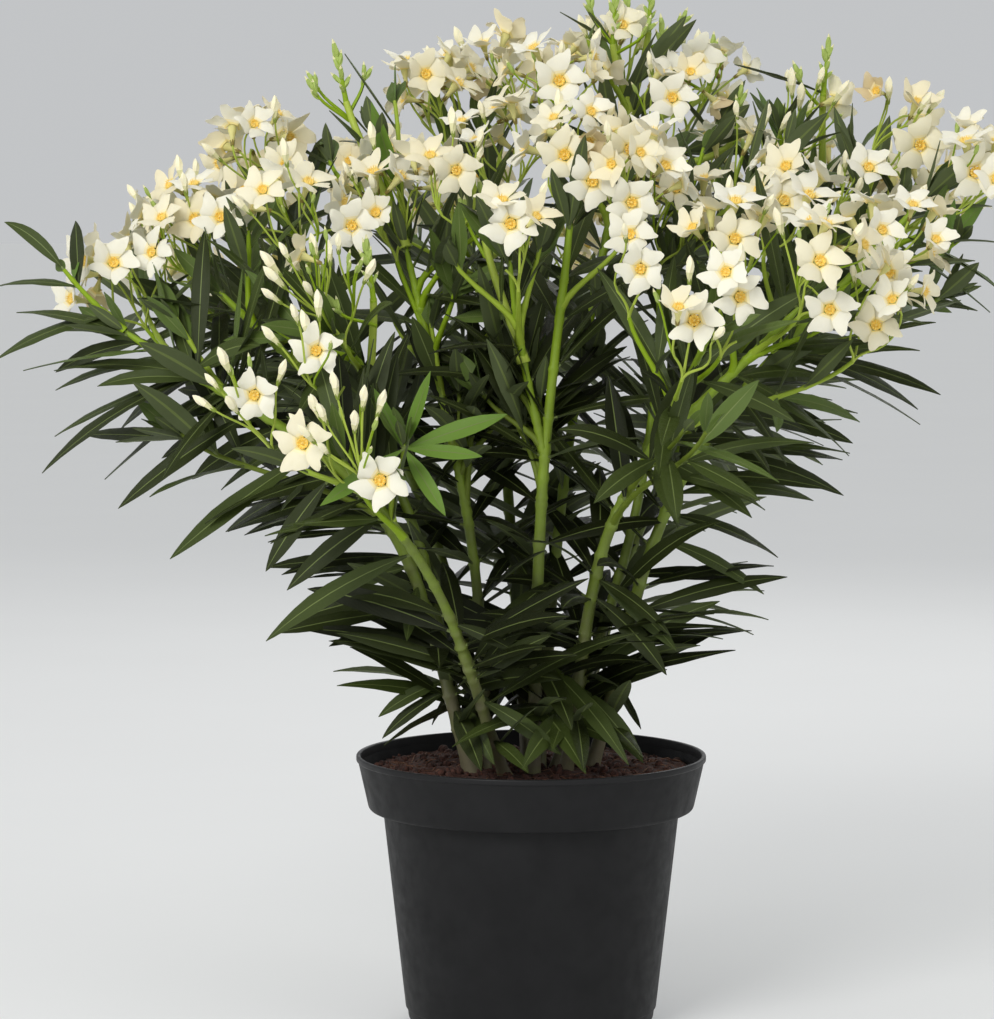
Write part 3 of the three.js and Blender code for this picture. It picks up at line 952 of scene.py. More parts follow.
def nearest_limb(shoots, target, least):
    """The shoot and distance from which a twig reaches the target with the least effort."""
    def cost_of(shoot):
        way, far, turn = ways_to(target, shoot)
        climb = way[:, 2] / np.maximum(far, 1e-6)
        ends = np.arange(len(far)) == len(far) - 1
        allowed = (far > least) | (ends & (far > 0.012))
        allowed &= (turn > 0.45) & (climb > LEAST_CLIMB) & (shoot.line[:, 2] > SOIL_TOP + 0.03)
        return np.where(allowed, far - 0.05 * turn - 0.03 * climb - 0.02 * ends, 9.0)
    shoot, spot = least_costly(shoots, cost_of)
    return shoot, shoot.reach[spot]


def grow_twig(plant, target, lean, least=0.07, radii=None):
    """Grows a twig to the target, arriving along the lean, and returns it."""
    wood = settings("stem")
    parent, distance = nearest_limb(plant.limbs.values(), target, least)
    start, heading, _ = parent.at(distance)
    steps = max(6, int(np.linalg.norm(target - start) / 0.008))
    chord = unit(target - start)
    leaving, arriving = unit(heading * 0.6 + chord * 0.5), unit(lean * 0.6 + chord * 0.6)
    line = arc_between(start, leaving, target, arriving, steps, 0.27)
    twig = Shoot(line, radii or (wood.twig_base, wood.twig_tip))
    parent.nodes.append(distance)
    plant.twigs.append(twig)
    return twig


def add_whorls(plant, rng, shoot, distances, freshness, size, tint_lift, keep=0.92):
    """Sets whorls of three leaves on a shoot. Freshness runs from old, 0, to young, 1."""
    look = settings("leaf")
    turn = rng.uniform(0, 2 * math.pi)
    for distance, fresh in zip(distances, freshness):
        point, heading, radius = shoot.at(distance)
        shoot.nodes.append(distance)
        axes = across_axes(heading, UP + jitter(rng, 0.05))
        turn += math.pi / 3 + rng.uniform(-0.2, 0.2)
        for place in range(3):
            if rng.random() > keep:
                continue
            radial = spoke(axes, turn + place * 2 * math.pi / 3 + rng.uniform(-0.2, 0.2))
            opening = mix(1.28, 0.6, fresh) + rng.uniform(-0.18, 0.18)
            leaf_heading = heading * math.cos(opening) + radial * math.sin(opening) + jitter(rng, 0.07)
            upper = heading * mix(0.5, 1.0, fresh) + UP * 0.5 + facing_out(point) + jitter(rng, 0.3)
            long = look.length * mix(1.02, size, fresh) * rng.uniform(0.82, 1.1)
            broad = look.breadth * mix(1.0, 0.5 + size / 2, fresh) * rng.uniform(0.85, 1.12)
            droop = mix(0.36, 0.08, fresh) + rng.uniform(-0.2, 0.28)
            # The tint's tone is partly painted light and shade: lighter towards the crown's rim, higher up
            # and at the very foot, darker deep inside the crown. Fresher leaves are really lighter, and
            # the lift and the noise vary it at random.
            painted_light_and_age = fresh * 0.75 + (point[2] - 0.42) * 0.9 + tint_lift + rng.gauss(0, 0.13)
            painted_light_and_age += (float(np.linalg.norm(outward_of(point))) - 0.16) * 2.4 + max(0.0, 0.36 - point[2]) * 3
            tint = int(np.searchsorted((0.0, 0.34, 0.72, 1.35), painted_light_and_age))
            plant.leaves.add(point + radial * radius * 0.6, leaf_heading, upper, long, broad, droop, tint)


def add_tuft(plant, rng, shoot, leaves, long):
    """Sets the small upright leaves at the end of a leafy shoot."""
    point, heading, radius = shoot.at(shoot.length)
    axes = across_axes(heading, UP + jitter(rng, 0.05))
    for place in range(leaves):
        along = place / leaves
        radial = spoke(axes, place * GOLDEN_ANGLE + rng.uniform(-0.2, 0.2))
        opening = mix(0.62, 0.1, along) + rng.uniform(-0.06, 0.06)
        way = heading * math.cos(opening) + radial * math.sin(opening)
        size = long * mix(1.0, 0.42, along) * rng.uniform(0.85, 1.1)
        breadth = settings("leaf").breadth * mix(0.8, 0.4, along)
        base = point - heading * 0.004 * (1 - along) + radial * radius * 0.5
        plant.leaves.add(base, way, heading, size, breadth, rng.uniform(-0.1, 0.12), 3)


def facing_out(point):
    """How much a blade at the point turns its face outward, and forward on the front half."""
    forward = np.array((0.0, -0.38, 0.0)) if point[1] < 0.05 else 0.0
    return unit(outward_of(point)) * 0.3 + forward


def far_enough(spots, spot, least):
    """Whether a spot keeps its distance from all the others."""
    return not spots or np.linalg.norm(np.array(spots) - spot, axis=1).min() >= least


def grow_head(plant, rng, centre, flower_count, bud_count, free, spots):
    """Grows a flower head: twig, forks, flower stalks, flowers and buds."""
    look, wood = settings("flower"), settings("stem")
    lean = unit(outward_of(centre) * 1.9 + UP)
    fork = centre - lean * HEAD_FORK
    twig = grow_twig(plant, fork, lean)
    axes = across_axes(lean, UP + jitter(rng, 0.2))
    front = np.array((0.0, -1.0, 0.1)) * (0.16 if centre[1] < 0.12 else 0.0)
    branches = []
    for place in range(3):
        side = spoke(axes, place * 2 * math.pi / 3 + rng.uniform(-0.4, 0.4))
        end = fork + lean * rng.uniform(0.012, 0.02) + side * rng.uniform(0.009, 0.014)
        branches.append((end, unit(lean + side * 0.8)))
        line = arc_between(fork - lean * 0.002, lean, end, lean + side, STALK_POINTS)
        plant.stalks.append((line, 0.0013, 0.0010, 1))

    def clear_of_flowers(point, least):
        """Whether a point keeps its distance from all flowers and the places before their faces."""
        return far_enough([*spots, *(row[0] + row[1] * FACE_ROOM for row in plant.flowers)], point, least)

    def hang(foot, facing, thickness, slot, clear_only=False):
        """Hangs a stalk on the branch that suits it best, unless it has to be clear and isn't."""
        best = None
        for end, leaving in branches:
            line = arc_between(end, leaving, foot, facing, STALK_POINTS, 0.32)
            crossing = not all(clear_of_flowers(point, STALK_ROOM) for point in line[1:])
            way = end - foot
            effort = np.linalg.norm(way) + 2 * max(0.0, float(way @ facing)) + 0.1 * crossing
            if best is None or effort < best[0]:
                best = (effort, line, crossing)
        if clear_only and best[2]:
            return False
        plant.stalks.append((best[1], wood.stalk_radius * 1.05, thickness, slot))
        return True

    def open_flower(spot, facing, openness, size, tint):
        """Sets a flower on its own stalk."""
        plant.flowers.append((spot, facing, openness, size, tint))
        spots.append(spot)
        hang(spot - facing * look.tube_length * size, facing, wood.stalk_radius, 1)

    def dome_way(cosine, angle):
        """A direction from the head's middle, at an angle round its lean."""
        return lean * cosine + spoke(axes, angle) * math.sqrt(1 - cosine**2)

    for spot in free:
        facing = unit(np.array((0.0, -1.0, 0.12)) + outward_of(spot) * 0.9 + jitter(rng, 0.3))
        size = rng.uniform(0.96, 1.16)
        open_flower(spot, facing, rng.uniform(0.86, 1.0), size, rng.choice((0, 0, 1)))
    dome = 0.018 + 0.0060 * math.sqrt(flower_count + 0.5 * bud_count)
    made = 0
    for attempt in range(flower_count * 7):
        if made >= flower_count - len(free):
            break
        cosine = mix(0.98, -0.12, (made + rng.random()) / max(flower_count, 3))
        way = dome_way(cosine, attempt * GOLDEN_ANGLE + rng.uniform(-0.3, 0.3))
        spot = centre + way * dome * rng.uniform(0.85, 1.2)
        if not far_enough(spots, spot, look.spacing * (1.0 if attempt < flower_count * 4 else 0.8)):
            continue
        facing = unit(way * 0.8 + lean * 0.25 + front + jitter(rng, 0.6))
        tint = rng.choice((0, 0, 0, 1, 1, 2))
        openness = rng.choice((0.96, 0.9, 0.84, 0.76, 0.66, 0.48))
        size = rng.uniform(0.84, 1.14)
        if rng.random() < look.spent:
            facing = unit(facing - UP * 0.7)
            tint, openness, size = 3, 0.32, 0.82
        open_flower(spot, facing, openness, size, tint)
        made += 1
    for place in range(int(bud_count * 1.4)):
        angle = (place + flower_count) * GOLDEN_ANGLE + rng.uniform(-0.4, 0.4)
        way = dome_way(mix(1.0, 0.25, (place + rng.random()) / max(bud_count, 3)), angle)
        heading = unit(way * 0.7 + lean * 0.6 + UP * 0.25)
        ripe = rng.random() < RIPE_BUDS
        long = look.bud_length * (rng.uniform(0.75, 1.12) if ripe else rng.uniform(0.4, 0.62))
        base = centre + way * dome * rng.uniform(0.7, 1.15)
        if not all(clear_of_flowers(point, FACE_ROOM) for point in (base, base + heading * long)):
            continue
        if hang(base, heading, wood.stalk_radius * 0.9, int(ripe), clear_only=True):
            plant.buds.append((base, heading, long, int(not ripe)))
    return twig


def add_bud_cluster(plant, rng, line, count, long):
    """Sets pointed young buds round the end of a stalk, the last one upright at its tip."""
    heading = unit(line[-1] - line[-2])
    axes = across_axes(heading, np.array((1.0, 0.2, 0.0)))
    for place in range(count):
        along = place / (count - 1)
        side = spoke(axes, place * GOLDEN_ANGLE + rng.uniform(-0.3, 0.3))
        way = unit(heading + side * mix(1.0, 0.1, along) + jitter(rng, 0.12))
        foot = line[-1] - heading * long * (1 - along)
        bud = settings("flower").bud_length * mix(0.5, 0.66, along) * rng.uniform(0.85, 1.15)
        plant.buds.append((foot, way, bud, 1))


def grow_bud_shoot(plant, rng, tip, arms):
    """Grows a tall pale green shoot that ends in a spike of young buds, with arms beside it."""
    lean = unit(outward_of(tip) * 0.7 + UP + jitter(rng, 0.08))
    fork = tip - lean * SHOOT_FORK
    twig = grow_twig(plant, fork, lean, 0.1, (0.0038, 0.0028))
    twig.finish = 2
    spike = arc_between(fork - lean * 0.003, lean, fork + lean * 0.036, lean, STALK_POINTS)
    plant.stalks.append((spike, 0.0027, 0.0013, 0))
    add_bud_cluster(plant, rng, spike, 10, 0.032)
    first = unit(np.cross(lean, np.array((0.0, 1.0, 0.2))))
    for place in range(arms):
        side = unit(first * (1 - 2 * (place % 2)) + jitter(rng, 0.5))
        start = fork - lean * rng.uniform(0.0, 0.022)
        end = start + unit(lean + side * rng.uniform(0.7, 1.1)) * rng.uniform(0.028, 0.044)
        arm = arc_between(start, lean + side, end, lean + side * 0.3, STALK_POINTS)
        plant.stalks.append((arm, 0.0018, 0.0012, 0))
        add_bud_cluster(plant, rng, arm, 4, 0.008)
    return twig


def leafy_reach(rng, shoot, spacing, bare_top, bare_base=0.012, play=None):
    """Distances of the whorls along a shoot, from its base to just under its top."""
    distances = []
    distance = bare_base + rng.uniform(0, play or spacing)
    while distance < shoot.length - bare_top:
        distances.append(distance)
        distance += spacing * rng.uniform(0.8, 1.2)
    return distances


def leaf_out(plant, rng, twig, reach, fresh, size, lift, keep=0.92):
    """Sets whorls along a twig. Reach is their spacing and the bare lengths at top and base."""
    distances = leafy_reach(rng, twig, *reach)
    freshness = [mix(*fresh, distance / twig.length) for distance in distances]
    add_whorls(plant, rng, twig, distances, freshness, size, rng.uniform(*lift), keep)


def aim_leaf(plant, rng, tip, tint, long):
    """Grows a leaf whose tip lies at the given place, from the shoot that suits it best."""
    outward = unit(outward_of(tip))

    def cost_of(shoot):
        way, far, turn = ways_to(tip, shoot)
        outside = np.sum(way * outward, axis=1) / np.maximum(far, 1e-6)
        cost = np.abs(far - long) * 6 + np.abs(turn - 0.4) * 0.25 - outside * 0.3
        return cost + np.where(shoot.line[:, 2] < 0.25, 5.0, 0.0)
    shoot, spot = least_costly([*plant.limbs.values(), *plant.twigs], cost_of)
    add_aimed_leaf(plant, rng, shoot.line[spot], shoot.headings[spot], tip, tint)


def add_aimed_leaf(plant, rng, base, heading, tip, tint, droop=(0.25, 0.6)):
    """Adds a leaf that reaches from its base to the given tip and turns its face outward."""
    tip = np.array((tip[0], tip[1], max(tip[2], SOIL_TOP + 0.007)))
    way = tip - base
    far = float(np.linalg.norm(way))
    upper = heading * 0.3 + UP * 0.5 + facing_out(base) * 1.6 + jitter(rng, 0.15)
    breadth = settings("leaf").breadth * rng.uniform(0.92, 1.1) * min(1.0, far / 0.09)
    plant.leaves.add(base, way, upper, far * 1.03, breadth, rng.uniform(*droop), tint, tip)


def nearest_spot(shoots, target):
    """The shoot that passes nearest to the target, and the place on its line."""
    return least_costly(shoots, lambda shoot: np.linalg.norm(shoot.line - target, axis=1))


def add_placed_leaf(plant, rng, shoots, start, tip, tints, droop):
    """Adds a leaf that reaches the tip from the shoot nearest to the start."""
    shoot, spot = nearest_spot(shoots, start)
    add_aimed_leaf(plant, rng, shoot.line[spot], shoot.headings[spot], tip, rng.choice(tints), droop)


def add_low_whorl(plant, rng, target):
    """Adds a whorl on the stem that passes nearest to a low place."""
    limb, spot = nearest_spot([plant.limbs[name] for name in STEMS], target)
    least = float(np.interp(SOIL_TOP + 0.025, limb.line[:, 2], limb.reach))
    distance = max(least, limb.reach[spot] + rng.uniform(-0.03, 0.03))
    add_whorls(plant, rng, limb, [distance], [0.1], 0.85, -0.2)


def fill_masses(plant, rng):
    """Adds leafy side shoots wherever a leafy part of the crown still holds too few leaves."""
    look = settings("leaf")
    names = [node for nodes in LEAF_SECTORS.values() for node in nodes]
    for node, centre, half in zip(names, *middles_and_halves(names)):
        litres = ELLIPSOID_LITRES * float(np.prod(half))
        for _ in range(MOST_SHOOTS):
            inside = np.sum(((plant.leaves.middles() - centre) / (half * 1.05))**2, axis=1) < 1
            if inside.sum() >= look.crowding * CROWDING_SHARES.get(node, 1.0) * litres:
                break
            way = unit(jitter(rng, 1.0) + unit(outward_of(centre)) * 0.5 + UP * 0.2)
            target = centre + way * half * rng.uniform(0.15, 0.6)
            if target[2] < TWIG_HEIGHT:
                add_low_whorl(plant, rng, target)
                continue
            lean = unit(outward_of(target) * 2.2 + UP + jitter(rng, 0.2))
            twig = grow_twig(plant, target, lean, 0.06)
            # Twigs that fill the crown's inside take the shaded finish: a darker olive as painted shade.
            twig.finish = 3
            leaf_out(plant, rng, twig, (look.twig_spacing, 0.004, 0.02), (0.15, 0.6), 0.8, (-0.25, 0.0))
            add_tuft(plant, rng, twig, 5, 0.05)


def first_whorl(limb):
    """Where the first whorl of a stem or bough may stand."""
    if limb.line[0, 2] > SOIL_TOP + 0.05:
        return 0.02
    return float(np.interp(SOIL_TOP + 0.024, limb.line[:, 2], limb.reach))


@functools.lru_cache(maxsize=1)
def grown_plant():
    """Grows the whole plant once, by the seeded rules."""
    look = settings("leaf")
    rng = random.Random(SEED)
    plant = Plant()
    for name, (foot, knee, tip, radii) in STEMS.items():
        start = (*metres(foot), SOIL_TOP - 0.004)
        plant.limbs[name] = Shoot(knee_curve(start, metres(knee), metres(tip)), metres(radii))
    for name, (parent, at, knee, tip, radii) in BOUGHS.items():
        stem = plant.limbs[parent]
        line = knee_curve(stem.at(stem.length * at)[0], metres(knee), metres(tip), 40)
        plant.limbs[name] = Shoot(line, metres(radii))
    centres = metres([head[0] for head in FLOWER_HEADS])
    spots = list(metres(FREE_FLOWERS))
    free = [[] for _ in centres]
    for spot in spots:
        free[int(np.argmin(np.linalg.norm(centres - spot, axis=1)))].append(spot)
    for centre, mine, (_, flowers, buds) in zip(centres, free, FLOWER_HEADS):
        twig = grow_head(plant, rng, centre, flowers, buds, mine, spots)
        leaf_out(plant, rng, twig, (look.twig_spacing, 0.03), (0.35, 0.9), 0.6, (-0.1, 0.12), 0.62)
    for tip in metres(LEAFY_TIPS):
        twig = grow_twig(plant, tip, unit(outward_of(tip) * 1.4 + UP + jitter(rng, 0.1)))
        leaf_out(plant, rng, twig, (look.twig_spacing, 0.004), (0.35, 1.0), 0.5, (0.0, 0.2), 0.7)
        add_tuft(plant, rng, twig, 5, 0.045)
    for tip, arms in BUD_SHOOTS:
        twig = grow_bud_shoot(plant, rng, metres(tip), arms)
        leaf_out(plant, rng, twig, (look.twig_spacing * 1.3, 0.085), (0.5, 1.0), 0.5, (0.0, 0.2), 0.75)
    for limb in plant.limbs.values():
        distances = leafy_reach(rng, limb, look.stem_spacing, 0.004, first_whorl(limb), 0.02)
        fresh = [0.62 * (distance / limb.length)**1.3 for distance in distances]
        add_whorls(plant, rng, limb, distances, fresh, 0.85, rng.uniform(-0.12, 0.06), 0.88)
        add_tuft(plant, rng, limb, 6, 0.062)
    for tip in metres(OUTER_LEAF_TIPS):
        aim_leaf(plant, rng, tip, rng.choice((1, 1, 2)), look.length * rng.uniform(0.92, 1.05))
    for tip in metres(BRIGHT_LEAF_TIPS):
        add_aimed_leaf(plant, rng, metres(BRIGHT_SHOOT), UP, tip, 4, (0.0, 0.2))
    stems = [plant.limbs[name] for name in STEMS]
    shoots = [*plant.limbs.values(), *plant.twigs]
    placed_leaves = (
        (FOOT_LEAVES, stems, (1, 2, 2), (0.25, 0.6)),
        (ARCHING_LEAVES, shoots, (1, 2), (0.25, 0.6)),
        (UPPER_LEAVES, shoots, (3, 4), (0.0, 0.2)),
    )
    for leaves, bearers, tints, droop in placed_leaves:
        for start, tip in metres(leaves):
            add_placed_leaf(plant, rng, bearers, start, tip, tints, droop)
    fill_masses(plant, rng)
    return plant


# ---- Pot and soil ----

def pot_outline():
    """The pot's closed outline, from the middle of its underside round to the middle of its floor."""
    pot = settings("pot")
    band_foot = pot.height - pot.band_depth
    lip_foot = pot.height - pot.lip_height
    inner_band = pot.band_bottom - pot.wall
    shelf = pot.body_top - pot.wall
    middle, recess, floor = 0.0004, 0.0022, 0.003
    return rounded([
        (middle, recess, 0.0),
        (pot.foot_radius - 0.006, recess, 0.0008),
        (pot.foot_radius - 0.0045, 0.0, 0.0008),
        (pot.foot_radius - 0.0006, 0.0, 0.0012),
        (pot.foot_radius, pot.foot_height, 0.0006),
        (pot.body_bottom, pot.foot_height + 0.0014, 0.0014),
        (pot.body_top, band_foot, 0.0012),
        (pot.band_bottom - 0.0006, band_foot, 0.0042),
        (pot.band_top, lip_foot, 0.0006),
        (pot.lip_radius, lip_foot + 0.0008, 0.0010),
        (pot.lip_radius, pot.height, 0.0014),
        (pot.lip_radius - 0.0034, pot.height, 0.0013),
        (pot.band_top - pot.wall, lip_foot - 0.002, 0.001),
        (inner_band, band_foot + pot.wall, 0.003),
        (shelf, band_foot + pot.wall, 0.002),
        (pot.body_bottom - pot.wall, floor, 0.003),
        (middle, floor, 0.0),
    ])


def build_pot():
    """Turns the pot, with its rolled lip, band and set-back foot."""
    pot = settings("pot")
    outline = pot_outline()
    fine = []
    for start, end in zip(outline, outline[1:]):
        pieces = max(1, int(np.linalg.norm(end - start) / 0.012))
        fine += [mix(start, end, step / pieces) for step in range(pieces)]
    fine.append(outline[-1])
    fine = np.array(fine)
    heights = (fine[1:, 1] + fine[:-1, 1]) / 2
    radii = (fine[1:, 0] + fine[:-1, 0]) / 2
    # Faces of the rolled lip, which take the lip material with its painted highlight.
    lip = (heights > pot.height - pot.lip_height - 0.0006) & (radii > pot.lip_radius - 0.005)
    sheaf = Sheaf()
    sheaf.add(turned_rings(fine, 144), lip.astype(int)[None, :, None])
    materials = [
        plastic_material("pot_plastic_matt", pot.plastic, pot.plastic_rubbed_and_lit, (0.48, 0.62)),
        # The lip material is the paler plastic all through: a painted highlight along the rolled rim.
        plastic_material("pot_plastic_lip", pot.plastic_rubbed_and_lit, pot.plastic_rubbed_and_lit, (0.36, 0.5)),
    ]
    sheaf.piece("planter", materials, 38, "pot_plastic", ("pot",))


# Lumps of the soil: height, size and seed.
SOIL_LUMPS = ((0.0024, 0.017, 3), (0.0016, 0.007, 5), (0.0009, 0.0032, 7))


def soil_height(x, y):
    """Height of the soil over a level place, with its lumps and its dip at the wall."""
    spot = np.stack([x, y, np.zeros_like(x)], axis=-1)
    rough = sum(height * lumps(spot, size, seed) for height, size, seed in SOIL_LUMPS)
    edge = np.clip((np.hypot(x, y) - 0.09) / 0.045, 0, 1)
    return SOIL_TOP - 0.0012 + rough - 0.0028 * edge**2


def scattered(rng, count, rim, part):
    """Random level places within a part of the rim's radius."""
    reach = rim * np.sqrt(rng.random(count)) * part
    turn = rng.random(count) * 2 * math.pi
    return reach * np.cos(turn), reach * np.sin(turn)


def soil_bed(rim):
    """Rings of the soil: its hidden side, then its uneven top from the rim to the middle."""
    radii = np.concatenate(([0.002, rim - 0.006, rim], np.linspace(rim - 0.002, 0.0015, 74)))
    angle = ring_angles(200)
    x, y = radii[:, None] * np.cos(angle), radii[:, None] * np.sin(angle)
    z = soil_height(x, y)
    z[:2] = SOIL_TOP - 0.028
    z[2] -= 0.0012
    return np.stack([x, y, z], axis=-1)[None]


def soil_crumbs(rng, rim, count):
    """Rings of lumpy balls that lie half sunk in the soil."""
    x, y = scattered(rng, count, rim, 0.97)
    size = 0.0011 + 0.0030 * rng.random(count)**2.2
    centre = np.stack([x, y, soil_height(x, y) + size * 0.3], axis=-1)
    polar = np.linspace(0.35, math.pi - 0.35, 5)[:, None]
    bulge = 1 + 0.28 * (rng.random((count, 5, 6)) - 0.5)
    ball = round_axis(bulge * np.sin(polar), 0.0, -np.cos(polar), ring_angles(6))
    ball = ball * (size[:, None] * rng.uniform(0.7, 1.25, (count, 3)))[:, None, None, :]
    return placed(ball, centre, axes_facing(rng.normal(size=(count, 3)), rng.random(count) * 6))


def soil_fibres(rng, rim, count):
    """Rings of short bent fibres that lie on the soil."""
    x, y = scattered(rng, count, rim, 0.93)
    heading = rng.random(count) * 2 * math.pi
    long = rng.uniform(0.006, 0.026, count)
    along = np.linspace(0, 1, 6)
    way = heading[:, None] + rng.normal(0, 0.9, count)[:, None] * along
    x = x[:, None] + np.cumsum(np.cos(way), axis=1) / 6 * long[:, None]
    y = y[:, None] + np.cumsum(np.sin(way), axis=1) / 6 * long[:, None]
    inside = np.minimum(1.0, (rim - 0.002) / np.maximum(np.hypot(x, y), 1e-6))
    x, y = x * inside, y * inside
    z = soil_height(x, y) + 0.0007 + 0.0016 * np.sin(along * math.pi) * rng.random(count)[:, None]
    thick = np.broadcast_to(rng.uniform(0.00022, 0.0005, count)[:, None], x.shape)
    return tube_rings(np.stack([x, y, z], axis=-1), thick, 5)


def build_soil():
    """Lays the soil with its lumps, loose crumbs and fibres."""
    pot = settings("pot")
    rng = np.random.default_rng(SEED)
    climb = (SOIL_TOP - (pot.height - pot.band_depth)) / (pot.band_depth - pot.lip_height)
    rim = mix(pot.band_bottom, pot.band_top, climb) - pot.wall - 0.0006
    sheaf = Sheaf()
    sheaf.add(soil_bed(rim), 0)
    sheaf.add(soil_crumbs(rng, rim, pot.crumbs), rng.integers(0, 2, pot.crumbs)[:, None, None])
    sheaf.add(soil_fibres(rng, rim, pot.fibres), 2)
    dark, warm, dry = pot.soil_dark, pot.soil_warm, pot.fibre
    materials = [
        mottled_material("soil_earth", (dark, warm), 330.0, (0.8, 0.97), 900.0, (0.8, 0.001)),
        mottled_material("soil_peat", (warm, dark), 420.0, (0.78, 0.95), 1100.0, (0.8, 0.001)),
        mottled_material("soil_fibre", (dry, warm), 300.0, (0.7, 0.9), 1400.0, (0.4, 0.0004)),
    ]
    sheaf.piece("potting_mix", materials, 50, "potting_soil", ("soil",))


# ---- Stems and twigs ----

# How far a node's swelling spreads, and how far a shoot's flared foot and drawn-in tip reach.
NODE_FOOT = 0.0028
NODE_TOP = 0.0018
NODE_SIZE = 0.0022
FLARE_SIZE = 0.009
TAPER_SIZE = 0.012

# Height where the furrows of the bark end.
SMOOTH_HEIGHT = 0.42


def shoot_rings(shoot, sides, spacing, relief, flare, taper):
    """Rings along a shoot, swollen at its nodes, furrowed near the soil and drawn in at its tip."""
    nodes = np.unique(np.round([d for d in shoot.nodes if 0.004 < d < shoot.length - 0.002], 3))
    stations = list(np.arange(0, shoot.length, spacing)) + [shoot.length]
    for node in nodes:
        stations += [node - NODE_FOOT, node, node + NODE_TOP]
    stations = np.unique(np.clip(np.round(stations, 4), 0, shoot.length))
    stations = stations[np.concatenate(([True], np.diff(stations) > 0.0008))]
    points = points_at(shoot.line, shoot.reach, stations)
    radii = mix(*shoot.radii, stations / shoot.length)
    for node in nodes:
        radii = radii * (1 + settings("stem").swelling * np.exp(-((stations - node) / NODE_SIZE)**2))
    radii = radii * (1 + flare * np.exp(-stations / FLARE_SIZE))
    radii = radii * (1 - taper * np.exp((stations - shoot.length) / TAPER_SIZE))
    angle = ring_angles(sides)
    depth = np.clip((SMOOTH_HEIGHT - points[:, 2]) / 0.2, 0, 1)[:, None] * relief
    place = np.stack(np.broadcast_arrays(
        np.cos(angle) * 0.004 + points[:, :1] * 0.3,
        np.sin(angle) * 0.004 + points[:, 1:2] * 0.3,
        points[:, 2:3] * 0.22,
    ), axis=-1)
    furrow = 1 + depth * lumps(place, 0.0026, 13) + 0.02 * lumps(place, 0.004, 17)
    return tube_rings(points[None], (radii[:, None] * furrow)[None], sides)


def build_limbs():
    """Skins the stems and boughs with furrowed bark, and the twigs with smooth green skin."""
    plant, wood = grown_plant(), settings("stem")
    sheaf = Sheaf()
    for name, limb in plant.limbs.items():
        flare = 0.35 if name in STEMS else 0.15
        sheaf.add(shoot_rings(limb, 14, 0.006, wood.bark_relief, flare, 0.5), 0)
    sheaf.piece("stems_and_boughs", [bark_material()], 60, "green_bark", plant.limbs)
    sheaf = Sheaf()
    for place, twig in enumerate(plant.twigs):
        sheaf.add(shoot_rings(twig, 8, 0.01, 0.0, 0.5, 0.0), twig.finish or place % 2)
    materials = [
        living_material("twig_green", wood.shoot_green, (0.38, 0.56)),
        living_material("twig_yellow", mix_colour(wood.shoot_green, wood.shoot_yellow, 0.5), (0.36, 0.54)),
        living_material("twig_pale", wood.shoot_yellow, (0.36, 0.54)),
        # Painted shade: the olive colour darkens the twigs that fill the crown's inside.
        living_material("twig_shaded", wood.bark_olive, (0.4, 0.58)),
    ]
    sheaf.piece("twigs", materials, 60, "green_bark")


# ---- Leaves ----

LEAF_SHARES = np.array((0.0, 0.045, 0.1, 0.19, 0.3, 0.42, 0.54, 0.66, 0.77, 0.87, 0.95, 1.0))
LEAF_BREADTHS = np.array((0.17, 0.15, 0.3, 0.58, 0.84, 0.97, 1.0, 0.93, 0.76, 0.5, 0.24, 0.03))
LEAF_ACROSS = np.array((-1.0, -0.5, -0.055, 0.055, 0.5, 1.0, 0.13, -0.13))
LEAF_UNDER = np.array((0, 0, 0, 0, 0, 0, 1, 1))
LEAF_STALK_DEPTH = 0.0006
LEAF_BLADE_DEPTH = 0.00022
RIB_SLOT = 5
UNDERSIDE_SLOT = 6


def leaf_lines(base, heading, long, droop):
    """Centre lines and headings of leaves that bend down by their own weight."""
    shares = LEAF_SHARES[None, :, None]
    bent = unit(heading[:, None, :] - UP * droop[:, None, None] * shares**1.3)
    between = (bent[:, 1:] + bent[:, :-1]) / 2 * np.diff(LEAF_SHARES)[None, :, None]
    run = np.concatenate([np.zeros_like(base)[:, None], np.cumsum(between, axis=1)], axis=1)
    return base[:, None, :] + run * long[:, None, None], bent


def crown_masses():
    """Middles and half sizes of all the leafy and flowering masses."""
    names = [node for nodes in (*LEAF_SECTORS.values(), *FLOWER_SECTORS.values()) for node in nodes]
    return middles_and_halves((*names, *SPROUTS))


def hides_stem(lines):
    """Whether each leaf crosses in front of one of the stems that show from the front."""
    hidden = np.zeros(len(lines), bool)
    for name in OPEN_STEMS:
        stem = grown_plant().limbs[name].line
        gap = lines[:, :, None, :] - stem[stem[:, 2] > OPEN_HEIGHT]
        beside = np.hypot(gap[..., 0], gap[..., 2]) < STEM_ROOM
        hidden |= (beside & (gap[..., 1] < -STEM_FRONT)).any(axis=(1, 2))
    return hidden


def crosses_flower(lines):
    """Whether each leaf passes through an open flower or close in front of its face."""
    flowers = grown_plant().flowers
    spots = np.array([row[0] + row[1] * ahead for row in flowers for ahead in FACE_STEPS])
    gaps = np.linalg.norm(lines[:, 2::2, None, :] - spots, axis=-1)
    return (gaps < LEAF_ROOM).any(axis=(1, 2))


def leaves_the_box(lines):
    """Whether each leaf reaches out of the room round the solid model."""
    return ((lines < BOX_LOW - BOX_ROOM) | (lines > BOX_HIGH + BOX_ROOM)).any(axis=(1, 2))


